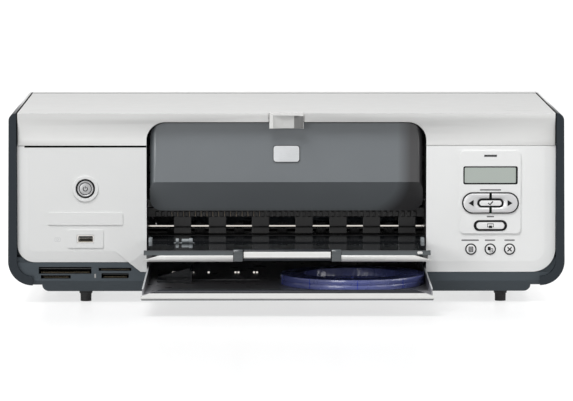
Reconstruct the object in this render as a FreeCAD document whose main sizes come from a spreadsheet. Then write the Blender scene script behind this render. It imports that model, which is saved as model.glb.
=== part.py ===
import FreeCAD, Part
import math
import os

import Sketcher

# Disc label printer, modelled in millimetres with +Z up and the front facing -Y.
# The origin is at the middle of its footprint, on the surface that its feet stand on.

SIZES = {
    # whole body
    "half_width": 230,
    "body_depth": 285,
    "tray_reach": 100,
    "top_height": 157.6,
    "brow": 4.5,
    "wall": 3,
    "fit": 0.3,
    "shaft_fit": 0.05,
    # side covers
    "cover_wall": 7.5,
    "cover_taper": 1.2,
    "top_round": 6,
    "curl_round": 20,
    "curl_reach": 20.5,
    "skirt_height": 15.2,
    # belly and feet
    "belly_height": 9.4,
    "belly_step": 7.5,
    "belly_round": 5.5,
    "tub_height": 60,
    "foot_radius": 4.5,
    "foot_left": 35.5,
    "foot_right": 24,
    "foot_inset": 25,
    # front panels and fascias
    "apron_height": 26.9,
    "panel_low": 34.1,
    "panel_drop": 25.9,
    "panel_column": 104.8,
    "drop_start": 15,
    "drop_end": 5.1,
    "panel_round_left": 14.5,
    "panel_round_right": 19,
    "pillow_width": 9,
    "pillow_depth": 0.9,
    "scoop_width": 31,
    "scoop_rise": 23,
    "scoop_depth": 2.2,
    "fascia_step": 1,
    "fascia_crease": 18.5,
    "fascia_tuck": 7,
    "fascia_flange": 38,
    # front opening
    "opening_half": 115.5,
    "header": 7.4,
    "opening_round": 15.5,
    "notch_half": 14.4,
    "grip_height": 12.5,
    # disc door
    "door_recess": 6,
    "door_gap": 2.5,
    "door_top_gap": 1.2,
    "door_kink": 100,
    "door_low": 75,
    "door_tuck": 15.5,
    "door_return": 9,
    "door_return_rise": 6,
    "door_wall": 2.5,
    "door_round": 5,
    "door_low_round": 10,
    "door_pivot_inset": 23.3,
    "door_pivot_height": 86,
    "door_pin": 2,
    "grip_scoop": 22,
    "grip_scoop_depth": 3,
    "grip_lid": 1.5,
    "badge_width": 22,
    "badge_height": 14,
    "badge_drop": 25.5,
    "badge_round": 6.4,
    "trim_thick": 0.8,
    # top cover hinge
    "lid_back": 15.3,
    "lid_apron": 1,
    "lid_corner": 7.8,
    "lid_pin": 2,
    "ear_drop": 9,
    "ear_height": 7,
    "ear_inset": 8.5,
    "ear_width": 6,
    "ear_clear": 3,
    # rear housing and door
    "rear_wall": 4,
    "rear_door_half": 100,
    "rear_door_low": 35,
    "rear_door_high": 110,
    "rear_pin": 1.2,
    "rear_grip_half": 20,
    "rear_grip_drop": 12,
    "rear_grip_tall": 4,
    "rear_socket_level": 40,
    "inlet_x": 150,
    "inlet_width": 14,
    "inlet_tall": 12,
    "inlet_depth": 18,
    "data_x": 120,
    "data_width": 12.5,
    "data_tall": 11.5,
    "data_depth": 16,
    "shell_wall": 1,
    "shell_recess": 0.5,
    # main tray
    "tray_side_gap": 0.6,
    "tray_wall": 1.2,
    "tray_lip_flare": 3.1,
    "tray_floor": 17.9,
    "tray_floor_thick": 2.5,
    "tray_side_high": 29.5,
    "tray_side_low": 22.4,
    "tray_length": 300,
    "tray_lip_high": 21.8,
    "tray_lip_low": 14.2,
    "tray_lip_thick": 5,
    "tray_lip_lean": 1.5,
    "tray_lip_chin": 1.2,
    "tray_lip_round": 2,
    "tray_lip_cut": 14,
    "tray_lip_cut_drop": 5.5,
    "flare_gap": 4,
    "flare_inset": 1,
    # output tray
    "out_reach": 80,
    "out_side_gap": 1.7,
    "out_lip_flare": 2.2,
    "out_top": 51.5,
    "out_low": 42.5,
    "out_plate": 2,
    "out_lip_high": 48,
    "out_lip_thick": 6,
    "out_pivot_inset": 50,
    "out_pivot_height": 47,
    "out_pin": 2,
    "out_heel": 3,
    "out_bevel": 1.5,
    "out_bevel_edge": 0.5,
    "out_lip_round": 4.2,
    "out_lip_edge": 1,
    "out_lip_cut": 13,
    "out_lip_cut_drop": 4,
    "beam_depth": 4,
    "rail_width": 4,
    "rail_rise": 1,
    "slide_width": 4,
    "slide_shelf": 2,
    "slide_lap": 3,
    "slide_stop": 10,
    "extender_half": 43.5,
    "extender_length": 100,
    "extender_thick": 2,
    "flap_half": 35.7,
    "flap_height": 7,
    "flap_leaf": 2.2,
    "flap_inset": 1,
    "flap_barrel": 2,
    "flap_pin": 1,
    "flap_pivot_inset": 4,
    "flap_pivot_drop": 1,
    "knuckle_rise": 0.5,
    # disc carrier
    "ring_outer": 59.2,
    "ring_inner": 40.5,
    "ring_height": 8.4,
    "ring_inset": 10,
    "ring_web": 2,
    "hub_radius": 7.4,
    "hub_rise": 1.8,
    "groove_height": 0.8,
    "groove_depth": 0.5,
    # paper width guide
    "guide_side": 8.5,
    "guide_width": 29,
    "guide_inset": 20,
    "guide_depth": 46,
    "guide_top": 28,
    "guide_key": 4,
    "guide_sole": 2,
    "guide_travel": 60,
    # frame plates, platen and rollers
    "plate_thick": 3,
    "plate_reach": 205,
    "plate_low_top": 62,
    "exit_inset": 70,
    "exit_height": 56.6,
    "exit_shaft": 2.5,
    "exit_roller": 4.6,
    "exit_roller_width": 8,
    "first_stop": 11,
    "feed_inset": 118,
    "feed_height": 50,
    "feed_shaft": 3,
    "feed_roller": 8,
    "feed_roller_width": 24,
    "feed_pulley": 8.7,
    "roller_belt": 5,
    "roller_belt_gap": 2,
    "shaft_end": 1,
    "platen_top": 56,
    "platen_thick": 3,
    "platen_gap": 2,
    "platen_rib": 2,
    "rib_root": 1,
    "chute_drop": 2.5,
    "chute_thick": 1.5,
    "tongue_width": 14.5,
    "tongue_thick": 3,
    "tongue_low": 52.6,
    "guard_inset": 60,
    "guard_height": 66.5,
    "guard_depth": 6,
    "guard_tall": 8,
    "comb_margin": 4,
    "comb_reach": 1.5,
    "comb_rise": 0.5,
    "comb_tall": 4.5,
    "comb_pitch": 4.9,
    "tongue_1": 28.8,
    "tongue_2": 58.1,
    "tongue_3": 94.2,
    "tongue_4": 100.3,
    "tongue_5": 71.8,
    "tongue_6": 43.7,
    "tongue_7": 14,
    # print chassis and carriage
    "chassis_inset_left": 16,
    "chassis_inset_right": 6,
    "chassis_thick": 2,
    "chassis_headroom": 14.6,
    "chassis_back": 162,
    "chassis_depth": 72,
    "chassis_lip": 12,
    "rod_inset": 138,
    "rod_height": 88,
    "rod_radius": 4,
    "carriage_width": 75,
    "park_gap": 4.5,
    "carriage_front": 82,
    "carriage_back": 146,
    "carriage_low": 63,
    "carriage_high": 112,
    "cartridge_width": 27,
    "cartridge_drop": 2,
    "cartridge_round": 2,
    "bay_drop": 12,
    "rod_wall": 4,
    "nose_inset": 12,
    "nose_side": 4,
    "nose_drop": 2.5,
    "nose_fit": 1,
    "latch_side": 1,
    "latch_thick": 2.5,
    "latch_inset": 2,
    "latch_pin": 1.5,
    "latch_barrel": 3,
    "latch_pivot_inset": 5,
    "latch_pivot_drop": 8,
    "latch_ear_depth": 7,
    "latch_ear_root": 5,
    "belt_height": 104,
    "belt_inset": 154,
    "pulley_radius": 7,
    "belt_width": 6,
    "belt_thick": 1.2,
    "pulley_shaft": 2,
    "pulley_gap": 4,
    "motor_radius": 12,
    "motor_length": 34,
    "motor_boss": 5,
    "motor_cap": 4,
    "motor_cap_length": 2,
    "strip_gap": 2,
    "strip_thick": 0.6,
    "strip_drop": 20,
    "strip_tall": 6,
    "station_gap": 10,
    "station_drop": 9,
    "cap_width": 18,
    "cap_inset": 14,
    "cap_gap": 0.6,
    # main board
    "board_stand": 8,
    "board_chassis_gap": 8,
    "board_frame_gap": 12,
    "board_rear_gap": 2,
    "post_inset": 5,
    "post_radius": 3,
    "chip_width": 18,
    "chip_shift": 10,
    "chip_tall": 2.5,
    # left panel trim
    "power_shift": 3.1,
    "power_rise": 69.2,
    "bezel_radius": 10.75,
    "power_hole": 8,
    "power_radius": 6.5,
    "power_proud": 1.4,
    "power_stem": 2.5,
    "power_board_width": 34,
    "power_board_tall": 30,
    "bezel_rise": 1.2,
    "label_shift": 3,
    "label_rise": 44.3,
    "label_width": 61.7,
    "label_tall": 10.2,
    "label_round": 0.8,
    "socket_shift": 3,
    "socket_rise": 27.6,
    "socket_width": 13.6,
    "socket_tall": 6.1,
    "socket_depth": 17,
    "pad_width": 29.6,
    "pad_tall": 14.8,
    "pad_round": 1.5,
    "sleeve_rise": 0.4,
    "sleeve_wall": 0.6,
    "contact_recess": 2,
    "contact_thick": 1.6,
    # card slots
    "reader_wall": 1.2,
    "cf_inset": 39.5,
    "cf_height": 27.2,
    "cf_width": 43.6,
    "cf_tall": 5.8,
    "sd_inset": 31.8,
    "sd_height": 21.9,
    "sd_width": 24.6,
    "sd_tall": 3,
    "xd_inset": 26.2,
    "xd_height": 28.1,
    "xd_width": 27,
    "xd_tall": 2.7,
    "ms_inset": 26.2,
    "ms_height": 22.7,
    "ms_width": 22.5,
    "ms_tall": 4.3,
    "slot_depth": 34,
    # control plate
    "control_shift": 0.6,
    "control_width": 50,
    "control_rise": 32,
    "control_top": 100.3,
    "control_raise": 1.2,
    "control_round": 3.5,
    "bar_rise": 96.3,
    "bar_width": 10.5,
    "bar_tall": 1.8,
    "display_width": 45,
    "display_rise": 80.1,
    "display_tall": 15.1,
    "display_round": 1.6,
    "display_sink": 0.5,
    "rocker_width": 46.3,
    "rocker_rise": 57.3,
    "rocker_tall": 17.1,
    "rocker_split": 1.5,
    "rocker_stem": 3,
    "rocker_stem_x": 14.5,
    "enter_width": 19.5,
    "enter_tall": 4.8,
    "enter_rise": 0.5,
    "ring_gap": 0.9,
    "print_width": 23,
    "print_tall": 5.5,
    "print_ring_width": 4.5,
    "print_ring_tall": 3.5,
    "ring_rise": 0.5,
    "print_rise": 38.6,
    "round_key": 3.6,
    "round_pitch": 16,
    "round_ring": 1.1,
    "round_rise": 18.9,
    "key_travel": 1,
    "key_stand": 1,
    "key_stem": 2,
    "board_gap": 9,
    "board_thick": 1.6,
    "board_margin": 5,
    "board_low_margin": 6,
}

doc = FreeCAD.newDocument("Printer")
sheet = doc.addObject("Spreadsheet::Sheet", "Sizes")
for row, (alias, number) in enumerate(SIZES.items(), start=1):
    sheet.set(f"A{row}", alias)
    sheet.set(f"B{row}", str(number))
    sheet.setAlias(f"B{row}", alias)
doc.recompute()


class Size:
    """A length kept both as a number and as a formula over the sheet's cells."""

    def __init__(self, number, formula):
        self.number = float(number)
        self.formula = formula

    @staticmethod
    def of(other):
        return other if isinstance(other, Size) else Size(other, f"{float(other):.10g}")

    def __add__(self, other):
        other = Size.of(other)
        return Size(self.number + other.number, f"({self.formula} + {other.formula})")

    def __sub__(self, other):
        other = Size.of(other)
        return Size(self.number - other.number, f"({self.formula} - {other.formula})")

    def __mul__(self, other):
        other = Size.of(other)
        return Size(self.number * other.number, f"({self.formula} * {other.formula})")

    def __truediv__(self, other):
        other = Size.of(other)
        return Size(self.number / other.number, f"({self.formula} / {other.formula})")

    def __neg__(self):
        return Size(-self.number, f"(0 - {self.formula})")

    def root(self):
        return Size(math.sqrt(self.number), f"sqrt({self.formula})")

    def __radd__(self, other):
        return Size.of(other) + self

    def __rsub__(self, other):
        return Size.of(other) - self

    def __rmul__(self, other):
        return Size.of(other) * self


class Sheet:
    """Every alias of the sheet as a Size."""


size = Sheet()
for alias, number in SIZES.items():
    setattr(size, alias, Size(number, f"Sizes.{alias}"))

LEFT = -1
RIGHT = 1
# how far a cutting shape reaches past the surface that it opens
PAST = 1
nodes = []


# ---------------------------------------------------------------- modelling helpers

def bind(thing, name, length):
    thing.setExpression(name, Size.of(length).formula)


def place(thing, x, y, z):
    bind(thing, "Placement.Base.x", x)
    bind(thing, "Placement.Base.y", y)
    bind(thing, "Placement.Base.z", z)


def block(x, y, z):
    """A box between two limits along each axis."""
    solid = doc.addObject("Part::Box", "Block")
    bind(solid, "Length", Size.of(x[1]) - x[0])
    bind(solid, "Width", Size.of(y[1]) - y[0])
    bind(solid, "Height", Size.of(z[1]) - z[0])
    place(solid, x[0], y[0], z[0])
    return solid


def around(middle, width):
    """The two limits of a width about its middle."""
    return (Size.of(middle) - Size.of(width) / 2, Size.of(middle) + Size.of(width) / 2)


TURNS = {
    "x": FreeCAD.Rotation(FreeCAD.Vector(0, 1, 0), 90),
    "y": FreeCAD.Rotation(FreeCAD.Vector(1, 0, 0), -90),
    "z": FreeCAD.Rotation(),
}


def drum(axis, centre, span, radius):
    """A cylinder along an axis; centre holds the two other coordinates in x, y, z order."""
    solid = doc.addObject("Part::Cylinder", "Drum")
    bind(solid, "Radius", radius)
    bind(solid, "Height", Size.of(span[1]) - span[0])
    solid.Placement = FreeCAD.Placement(FreeCAD.Vector(), TURNS[axis])
    spot = list(centre)
    spot.insert("xyz".index(axis), span[0])
    place(solid, *spot)
    return solid


PLANES = {"x": "YZ_Plane", "y": "XZ_Plane", "z": "XY_Plane"}


def corner_edges(shape, axis, corner):
    """Names of the edges along an axis that stand on one corner of the outline."""
    keep = [i for i in range(3) if "xyz"[i] != axis]
    names = []
    for index, edge in enumerate(shape.Edges, start=1):
        ends = [vertex.Point for vertex in edge.Vertexes]
        if len(ends) != 2:
            continue
        near = [
            abs(end[keep[0]] - corner[0]) < 0.001 and abs(end[keep[1]] - corner[1]) < 0.001
            for end in ends
        ]
        if all(near):
            names.append(f"Edge{index}")
    return names


def arc_between(spot, after, radius, bulge):
    """An anticlockwise arc between two points, bulging to the left (1) or right (-1) of their line."""
    chord = after - spot
    rise = math.sqrt(radius ** 2 - (chord.Length / 2) ** 2)
    left = FreeCAD.Vector(-chord.y, chord.x, 0).normalize()
    centre = (spot + after) / 2 - left * (rise * bulge)
    first, last = (after, spot) if bulge > 0 else (spot, after)
    angles = [math.atan2(end.y - centre.y, end.x - centre.x) for end in (first, last)]
    if angles[1] < angles[0]:
        angles[1] += 2 * math.pi
    circle = Part.Circle(centre, FreeCAD.Vector(0, 0, 1), radius)
    return Part.ArcOfCircle(circle, *angles)


def prism(axis, outline, span, rounds=(), arcs=()):
    """A PartDesign body: an outline padded along an axis, with some of its corners rounded.

    rounds holds (corner numbers, radius) pairs. arcs holds (side number, radius, bulge side) for
    sides that are arcs instead of straight lines.
    """
    body = doc.addObject("PartDesign::Body", "Prism")
    sketch = body.newObject("Sketcher::SketchObject", "Outline")
    plane = [item for item in body.Origin.OriginFeatures if item.Role == PLANES[axis]][0]
    sketch.AttachmentSupport = [(plane, "")]
    sketch.MapMode = "FlatFace"
    start, end = Size.of(span[0]), Size.of(span[1])
    bind(sketch, "AttachmentOffset.Base.z", -end if axis == "y" else start)
    outline = [(Size.of(u), Size.of(v)) for u, v in outline]
    spots = [FreeCAD.Vector(u.number, v.number, 0) for u, v in outline]
    curved = {side: (Size.of(radius), bulge) for side, radius, bulge in arcs}
    starts, ends = [1] * len(spots), [2] * len(spots)
    for side, spot in enumerate(spots):
        after = spots[(side + 1) % len(spots)]
        if side in curved:
            radius, bulge = curved[side]
            sketch.addGeometry(arc_between(spot, after, radius.number, bulge), False)
            if bulge > 0:
                starts[side], ends[side] = 2, 1
        else:
            sketch.addGeometry(Part.LineSegment(spot, after), False)
    for side in range(len(spots)):
        after = (side + 1) % len(spots)
        sketch.addConstraint(Sketcher.Constraint("Coincident", side, ends[side], after, starts[after]))
    for side, (u, v) in enumerate(outline):
        for kind, length in (("DistanceX", u), ("DistanceY", v)):
            rule = Sketcher.Constraint(kind, -1, 1, side, starts[side], length.number)
            number = sketch.addConstraint(rule)
            bind(sketch, f"Constraints[{number}]", length)
    for side, (radius, bulge) in curved.items():
        number = sketch.addConstraint(Sketcher.Constraint("Radius", side, radius.number))
        bind(sketch, f"Constraints[{number}]", radius)
    pad = body.newObject("PartDesign::Pad", "Pad")
    pad.Profile = sketch
    bind(pad, "Length", end - start)
    doc.recompute()
    last = pad
    for corners, radius in rounds:
        names = []
        for corner in corners:
            names += corner_edges(last.Shape, axis, (spots[corner].x, spots[corner].y))
        fillet = body.newObject("PartDesign::Fillet", "Round")
        fillet.Base = (last, names)
        bind(fillet, "Radius", radius)
        doc.recompute()
        require(fillet)
        last = fillet
    return body


def require(thing):
    """Stop where an object failed to build."""
    if "Invalid" in thing.State or "Error" in thing.State or thing.Shape.isNull():
        raise RuntimeError(f"{thing.Name} ({thing.Label}) failed")


def rounded_block(axis, x, y, z, radius):
    """A box whose four edges along an axis are rounded."""
    spans = {"x": x, "y": y, "z": z}
    u, v = [spans[name] for name in "xyz" if name != axis]
    outline = [(u[0], v[0]), (u[1], v[0]), (u[1], v[1]), (u[0], v[1])]
    return prism(axis, outline, spans[axis], [((0, 1, 2, 3), radius)])


def join(*pieces):
    if len(pieces) == 1:
        return pieces[0]
    solid = doc.addObject("Part::MultiFuse", "Join")
    solid.Shapes = list(pieces)
    return solid


def carve(base, *tools):
    solid = doc.addObject("Part::Cut", "Carve")
    solid.Base = base
    solid.Tool = join(*tools)
    return solid


def overlap(first, second):
    solid = doc.addObject("Part::Common", "Overlap")
    solid.Base = first
    solid.Tool = second
    return solid


def group(*pieces):
    solid = doc.addObject("Part::Compound", "Group")
    solid.Links = list(pieces)
    return solid


def node(label, solid):
    solid.Label = label
    nodes.append(solid)
    return solid


# ---------------------------------------------------------------- shared places

seam_height = size.top_height - size.apron_height
opening_top = size.top_height - size.header
door_top = opening_top - size.door_top_gap
grip_low = size.top_height - size.grip_height
ear_x = (
    size.half_width - size.cover_wall - size.ear_inset - size.ear_width,
    size.half_width - size.cover_wall - size.ear_inset,
)
front = (size.tray_reach - size.body_depth) / 2
rear = front + size.body_depth
face = front + size.brow
inner_x = size.half_width - size.cover_wall
curl_top = size.skirt_height + size.cover_wall
inner_curl = size.curl_round - size.cover_wall
floor_top = size.belly_height + size.wall
panel_back = face + size.wall
curl_seam = size.half_width - size.curl_reach
belly_half = curl_seam - size.belly_step
seam = size.fit + size.fit
panel_top = seam_height - size.fit
fascia_back = panel_back + size.fascia_tuck
apron_back = panel_back + size.lid_apron
plate_x = (size.opening_half, size.opening_half + size.plate_thick)
chassis_left = -(belly_half - size.chassis_inset_left)
chassis_right = belly_half - size.chassis_inset_right
chassis_top = size.top_height - size.wall - size.chassis_headroom
park_x = chassis_right - size.chassis_thick - size.park_gap - size.carriage_width / 2
panel_middle = (size.opening_half + inner_x) / 2
control_x = panel_middle - size.control_shift


def level(rise):
    """A height on a front panel: its share of the panel stays when the body's height changes."""
    column = seam_height - size.panel_drop
    return size.panel_drop + column * (rise / size.panel_column)


control_span = (level(size.control_rise), level(size.control_top))
bar_height = level(size.bar_rise)
display_height = level(size.display_rise)
rocker_height = level(size.rocker_rise)
print_height = level(size.print_rise)
round_height = level(size.round_rise)
power_line = (size.power_shift - panel_middle, level(size.power_rise))
label_spot = (size.label_shift - panel_middle, level(size.label_rise))
socket_spot = (size.socket_shift - panel_middle, level(size.socket_rise))


def mirrored(side, span):
    """The limits of a span on the left or the right of the middle plane."""
    return span if side == RIGHT else (-span[1], -span[0])


def section_outline(offset, top):
    """The inside of the side covers and the belly, drawn smaller by an offset."""
    low = size.skirt_height + offset
    step = size.skirt_height + size.cover_wall + offset
    belly = size.belly_height + offset
    return [
        (-(inner_x - offset), top),
        (-(inner_x - offset), step),
        (-(curl_seam - offset), step),
        (-(curl_seam - offset), low),
        (-(belly_half - offset), low),
        (-(belly_half - offset), belly),
        (belly_half - offset, belly),
        (belly_half - offset, low),
        (curl_seam - offset, low),
        (curl_seam - offset, step),
        (inner_x - offset, step),
        (inner_x - offset, top),
    ]


def section_rounds(offset):
    """The rounded corners of the section: both covers' curls and both ends of the belly."""
    return [((1, 10), inner_curl - offset), ((5, 6), size.belly_round - offset)]


# ---------------------------------------------------------------- shell

def base_pan():
    """A tub of one wall thickness under the whole body, open at its front and back."""
    span = (fascia_back, rear - size.rear_wall)
    outer = prism("y", section_outline(0, size.tub_height), span, section_rounds(0))
    inner_top = size.tub_height + size.wall
    inner_span = (fascia_back - size.wall, rear)
    hollow = section_outline(size.wall, inner_top)
    inner = prism("y", hollow, inner_span, section_rounds(size.wall))
    return carve(outer, inner)


def feet():
    """Four rubber feet under the belly."""
    rows = (front + size.foot_inset, rear - size.foot_inset)
    pieces = []
    for x in (-(belly_half - size.foot_left), belly_half - size.foot_right):
        for y in rows:
            pieces.append(drum("z", (x, y), (0, size.belly_height), size.foot_radius))
    return group(*pieces)


def side_cover(side):
    """A glossy cover that runs down one side and curls in under the body."""
    outline = [
        (side * inner_x, size.top_height),
        (side * (size.half_width - size.cover_taper), size.top_height),
        (side * size.half_width, size.skirt_height),
        (side * curl_seam, size.skirt_height),
        (side * curl_seam, curl_top),
        (side * inner_x, curl_top),
    ]
    rounds = [((1,), size.top_round), ((2,), size.curl_round), ((5,), inner_curl)]
    return prism("y", outline, (front + size.fascia_step, rear), rounds)


def front_panel(side):
    """A white panel beside the front opening, with a soft bevel along its outer edges."""
    outer_x = inner_x - size.fit
    if side == LEFT:
        outline = [
            (-size.opening_half, panel_top),
            (-outer_x, panel_top),
            (-outer_x, size.panel_low),
            (-(size.opening_half + size.drop_start), size.panel_low),
            (-(size.opening_half + size.drop_end), size.panel_drop),
            (-size.opening_half, size.panel_drop),
        ]
        round_corner = (2, size.panel_round_left)
    else:
        outline = [
            (size.opening_half, panel_top),
            (outer_x, panel_top),
            (outer_x, size.panel_drop),
            (size.opening_half, size.panel_drop),
        ]
        round_corner = (2, size.panel_round_right)
    body = prism("y", outline, (face, panel_back), [((round_corner[0],), round_corner[1])])
    base = body.Tip
    edge_x = side * outer_x.number
    names = []
    for index, edge in enumerate(base.Shape.Edges, start=1):
        box = edge.BoundBox
        on_front = box.YMax < face.number + 0.001
        upright = box.XLength < 0.001 and abs(box.XMin - edge_x) < 0.001
        if on_front and upright:
            names.append(f"Edge{index}")
    bevel = body.newObject("PartDesign::Chamfer", "Pillow")
    bevel.Base = (base, names)
    bevel.ChamferType = "Two distances"
    bind(bevel, "Size", size.pillow_depth)
    bind(bevel, "Size2", size.pillow_width)
    doc.recompute()
    on_face = [v.Point for v in bevel.Shape.Vertexes if abs(v.Point.y - face.number) < 0.001]
    reach = max(abs(point.x) for point in on_face)
    if reach > outer_x.number - size.pillow_width.number + 0.01:
        bevel.FlipDirection = True
        doc.recompute()
    return body


def left_panel():
    """The left panel with its key hole, socket hole and the scooped corner beside the tray."""
    power = drum("y", power_line, (face - PAST, panel_back + PAST), size.power_hole)
    hole = block(
        around(socket_spot[0], size.socket_width + seam),
        (face - PAST, panel_back + PAST),
        around(socket_spot[1], size.socket_tall + seam),
    )
    return carve(front_panel(LEFT), power, hole, scoop())


def scoop():
    """A shallow wedge taken off the lower inner corner of the left panel."""
    corner_x, corner_z = -size.opening_half.number, size.panel_drop.number
    depth = size.scoop_depth.number
    width, rise = size.scoop_width.number, size.scoop_rise.number
    y = face.number
    past = PAST / 2
    tip = FreeCAD.Vector(corner_x + past, y - past, corner_z - past)
    deep = FreeCAD.Vector(corner_x + past, y + depth, corner_z - past)
    along = FreeCAD.Vector(corner_x - width, y - past, corner_z - past)
    upward = FreeCAD.Vector(corner_x + past, y - past, corner_z + rise)
    faces = []
    for loop in ((tip, along, upward), (tip, deep, along), (tip, upward, deep), (along, deep, upward)):
        faces.append(Part.Face(Part.makePolygon([*loop, loop[0]])))
    wedge = doc.addObject("Part::Feature", "Scoop")
    wedge.Shape = Part.Solid(Part.Shell(faces))
    if wedge.Shape.Volume < 0:
        wedge.Shape = wedge.Shape.reversed()
    return wedge


def right_panel():
    """The right panel with the windows behind the control plate and the three round key holes."""
    cuts = [
        block(
            around(control_x, size.display_width + seam),
            (face - PAST, panel_back + PAST),
            around(display_height, size.display_tall + seam),
        ),
        block(
            around(control_x, size.rocker_width + seam),
            (face - PAST, panel_back + PAST),
            around(rocker_height, size.rocker_tall + seam),
        ),
        block(
            around(control_x, size.print_width + seam),
            (face - PAST, panel_back + PAST),
            around(print_height, size.print_tall + seam),
        ),
    ]
    for x in round_key_places():
        reach = size.round_key + size.fit
        cuts.append(drum("y", (x, round_height), (face - PAST, panel_back + PAST), reach))
    return carve(front_panel(RIGHT), *cuts)


def round_key_places():
    return [control_x + step * size.round_pitch for step in (-1, 0, 1)]


def fascia(side):
    """A dark band under one front panel, upright above a crease and tucked back below it."""
    skin = face + size.fascia_step
    seat = size.panel_low - size.fit if side == LEFT else size.panel_drop - size.fit
    under = [
        (panel_back, size.fascia_flange),
        (panel_back, seat),
        (skin, seat),
        (skin, size.fascia_crease),
        (fascia_back - size.wall, size.belly_height),
        (fascia_back, size.belly_height),
        (fascia_back, size.fascia_flange),
    ]
    edge = size.opening_half
    slab = prism("x", under, mirrored(side, (edge, inner_x)))
    high = size.fascia_flange + PAST
    reach = section_outline(0, high)
    half = reach[:6] + [(-edge, size.belly_height), (-edge, high)]
    if side == RIGHT:
        half = [(edge, high), (edge, size.belly_height)] + reach[6:]
    curl, belly_end = (1, 5) if side == LEFT else (len(half) - 2, 2)
    rounds = [((curl,), inner_curl), ((belly_end,), size.belly_round)]
    mask = prism("y", half, (front, rear), rounds)
    if side == RIGHT:
        return overlap(slab, mask)
    dip = prism(
        "y",
        [
            (-(size.opening_half + size.drop_start), size.panel_low - size.fit),
            (-(size.opening_half + size.drop_end), size.panel_drop - size.fit),
            (-edge + PAST, size.panel_drop - size.fit),
            (-edge + PAST, size.panel_low + PAST),
            (-(size.opening_half + size.drop_start), size.panel_low + PAST),
        ],
        (face, panel_back),
    )
    return carve(overlap(slab, mask), dip, *card_slots(skin - PAST, fascia_back + PAST))


CARDS = ("cf", "sd", "xd", "ms")


def card_place(card):
    """The two large cards are placed from the outer side and the two small ones from the opening."""
    inset = getattr(size, f"{card}_inset")
    return inset - inner_x if card in ("cf", "sd") else -(size.opening_half + inset)


def card_slots(start, end):
    """The four card slots as boxes between two depths."""
    boxes = []
    for card in CARDS:
        x = card_place(card)
        z = getattr(size, f"{card}_height")
        wide = getattr(size, f"{card}_width")
        tall = getattr(size, f"{card}_tall")
        boxes.append(block(around(x, wide), (start, end), around(z, tall)))
    return boxes


def card_reader():
    """The closed housing behind the slots, with a row of contacts in each one."""
    left = card_place("cf") - size.cf_width / 2 - size.reader_wall
    right = card_place("xd") + size.xd_width / 2 + size.reader_wall
    deep = fascia_back + size.slot_depth
    case = block((left, right), (fascia_back, deep), (floor_top + size.wall * 2, size.panel_low))
    return carve(case, *card_slots(fascia_back - PAST, deep - size.wall))


def top_cover():
    """The hinged white lid: a flat top, a hollowed front apron and two side skirts."""
    back = rear - size.lid_back
    half = inner_x - seam - size.fit
    outline = [
        (front, size.top_height),
        (face, seam_height),
        (back, seam_height),
        (back, size.top_height),
    ]
    apron = size.top_height - seam_height
    apron_arc = (apron * apron + size.brow * size.brow) / (2 * size.brow)
    outer = prism("x", outline, (-half, half), [((3,), size.lid_corner)], [(0, apron_arc, RIGHT)])
    inner = block(
        (-(half - size.wall), half - size.wall),
        (apron_back, back - size.wall),
        (seam_height - PAST, size.top_height - size.wall),
    )
    arch = rounded_block(
        "y",
        (-size.opening_half, size.opening_half),
        (front - PAST, apron_back + PAST),
        (seam_height - size.opening_round * 2, opening_top),
        size.opening_round,
    )
    notch = block(
        (-(size.notch_half + size.fit), size.notch_half + size.fit),
        (front - PAST, face + size.door_recess + size.fit),
        (grip_low, size.top_height + PAST),
    )
    pins = [
        drum("x", hinge_line(), mirrored(side, (ear_x[0] - size.ear_clear, half)), size.lid_pin)
        for side in (LEFT, RIGHT)
    ]
    turn = hinge_line()
    ear_slots = [
        block(
            mirrored(side, (ear_x[0] - size.lid_apron, ear_x[1] + size.lid_apron)),
            (turn[0], back + PAST),
            (seam_height - PAST, turn[1]),
        )
        for side in (LEFT, RIGHT)
    ]
    return join(carve(outer, inner, arch, notch, *ear_slots), *pins)


def hinge_line():
    """Where the lid turns: the centre of its rounded back corner."""
    return (rear - size.lid_back - size.lid_corner, size.top_height - size.lid_corner)


def rear_housing():
    """The back wall with the rear door's doorway, its hinge sockets and the ears of the lid."""
    wall_span = (rear - size.rear_wall, rear)
    wall = prism("y", section_outline(0, size.top_height), wall_span, section_rounds(0))
    shelf = block(
        (-inner_x, inner_x),
        (rear - size.lid_back + size.fit * 2, rear - size.rear_wall),
        (size.top_height - size.wall, size.top_height),
    )
    turn = hinge_line()
    ears = []
    for side in (LEFT, RIGHT):
        span = mirrored(side, ear_x)
        knuckle_radius = size.lid_pin * 2
        ear_low = turn[1] - size.ear_drop - size.ear_height
        arm = block(
            span, (turn[0], rear - size.rear_wall), (ear_low, turn[1] - size.ear_drop)
        )
        post = block(span, (turn[0] - knuckle_radius, turn[0] + size.lid_pin), (ear_low, turn[1]))
        knuckle = drum("x", turn, span, knuckle_radius)
        ears += [arm, post, knuckle]
    sockets = [
        drum("x", turn, mirrored(side, (ear_x[0] - PAST, ear_x[1] + PAST)), lid_bore())
        for side in (LEFT, RIGHT)
    ]
    doorway = block(
        (-(size.rear_door_half + size.fit), size.rear_door_half + size.fit),
        (rear - size.rear_wall - PAST, rear + PAST),
        (size.rear_door_low, size.rear_door_high),
    )
    door_turn = rear_hinge()
    reach = size.rear_door_half + size.wall * 2
    door_bore = drum("x", door_turn, (-reach, reach), size.rear_pin + size.shaft_fit)
    inlets = rear_sockets(rear - size.rear_wall - PAST, rear + PAST)
    return carve(join(wall, shelf, *ears), doorway, door_bore, *sockets, *inlets)


def lid_bore():
    return size.lid_pin + size.shaft_fit


def rear_hinge():
    return (rear - size.rear_wall / 2, size.rear_door_low + size.rear_wall / 2)


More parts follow.
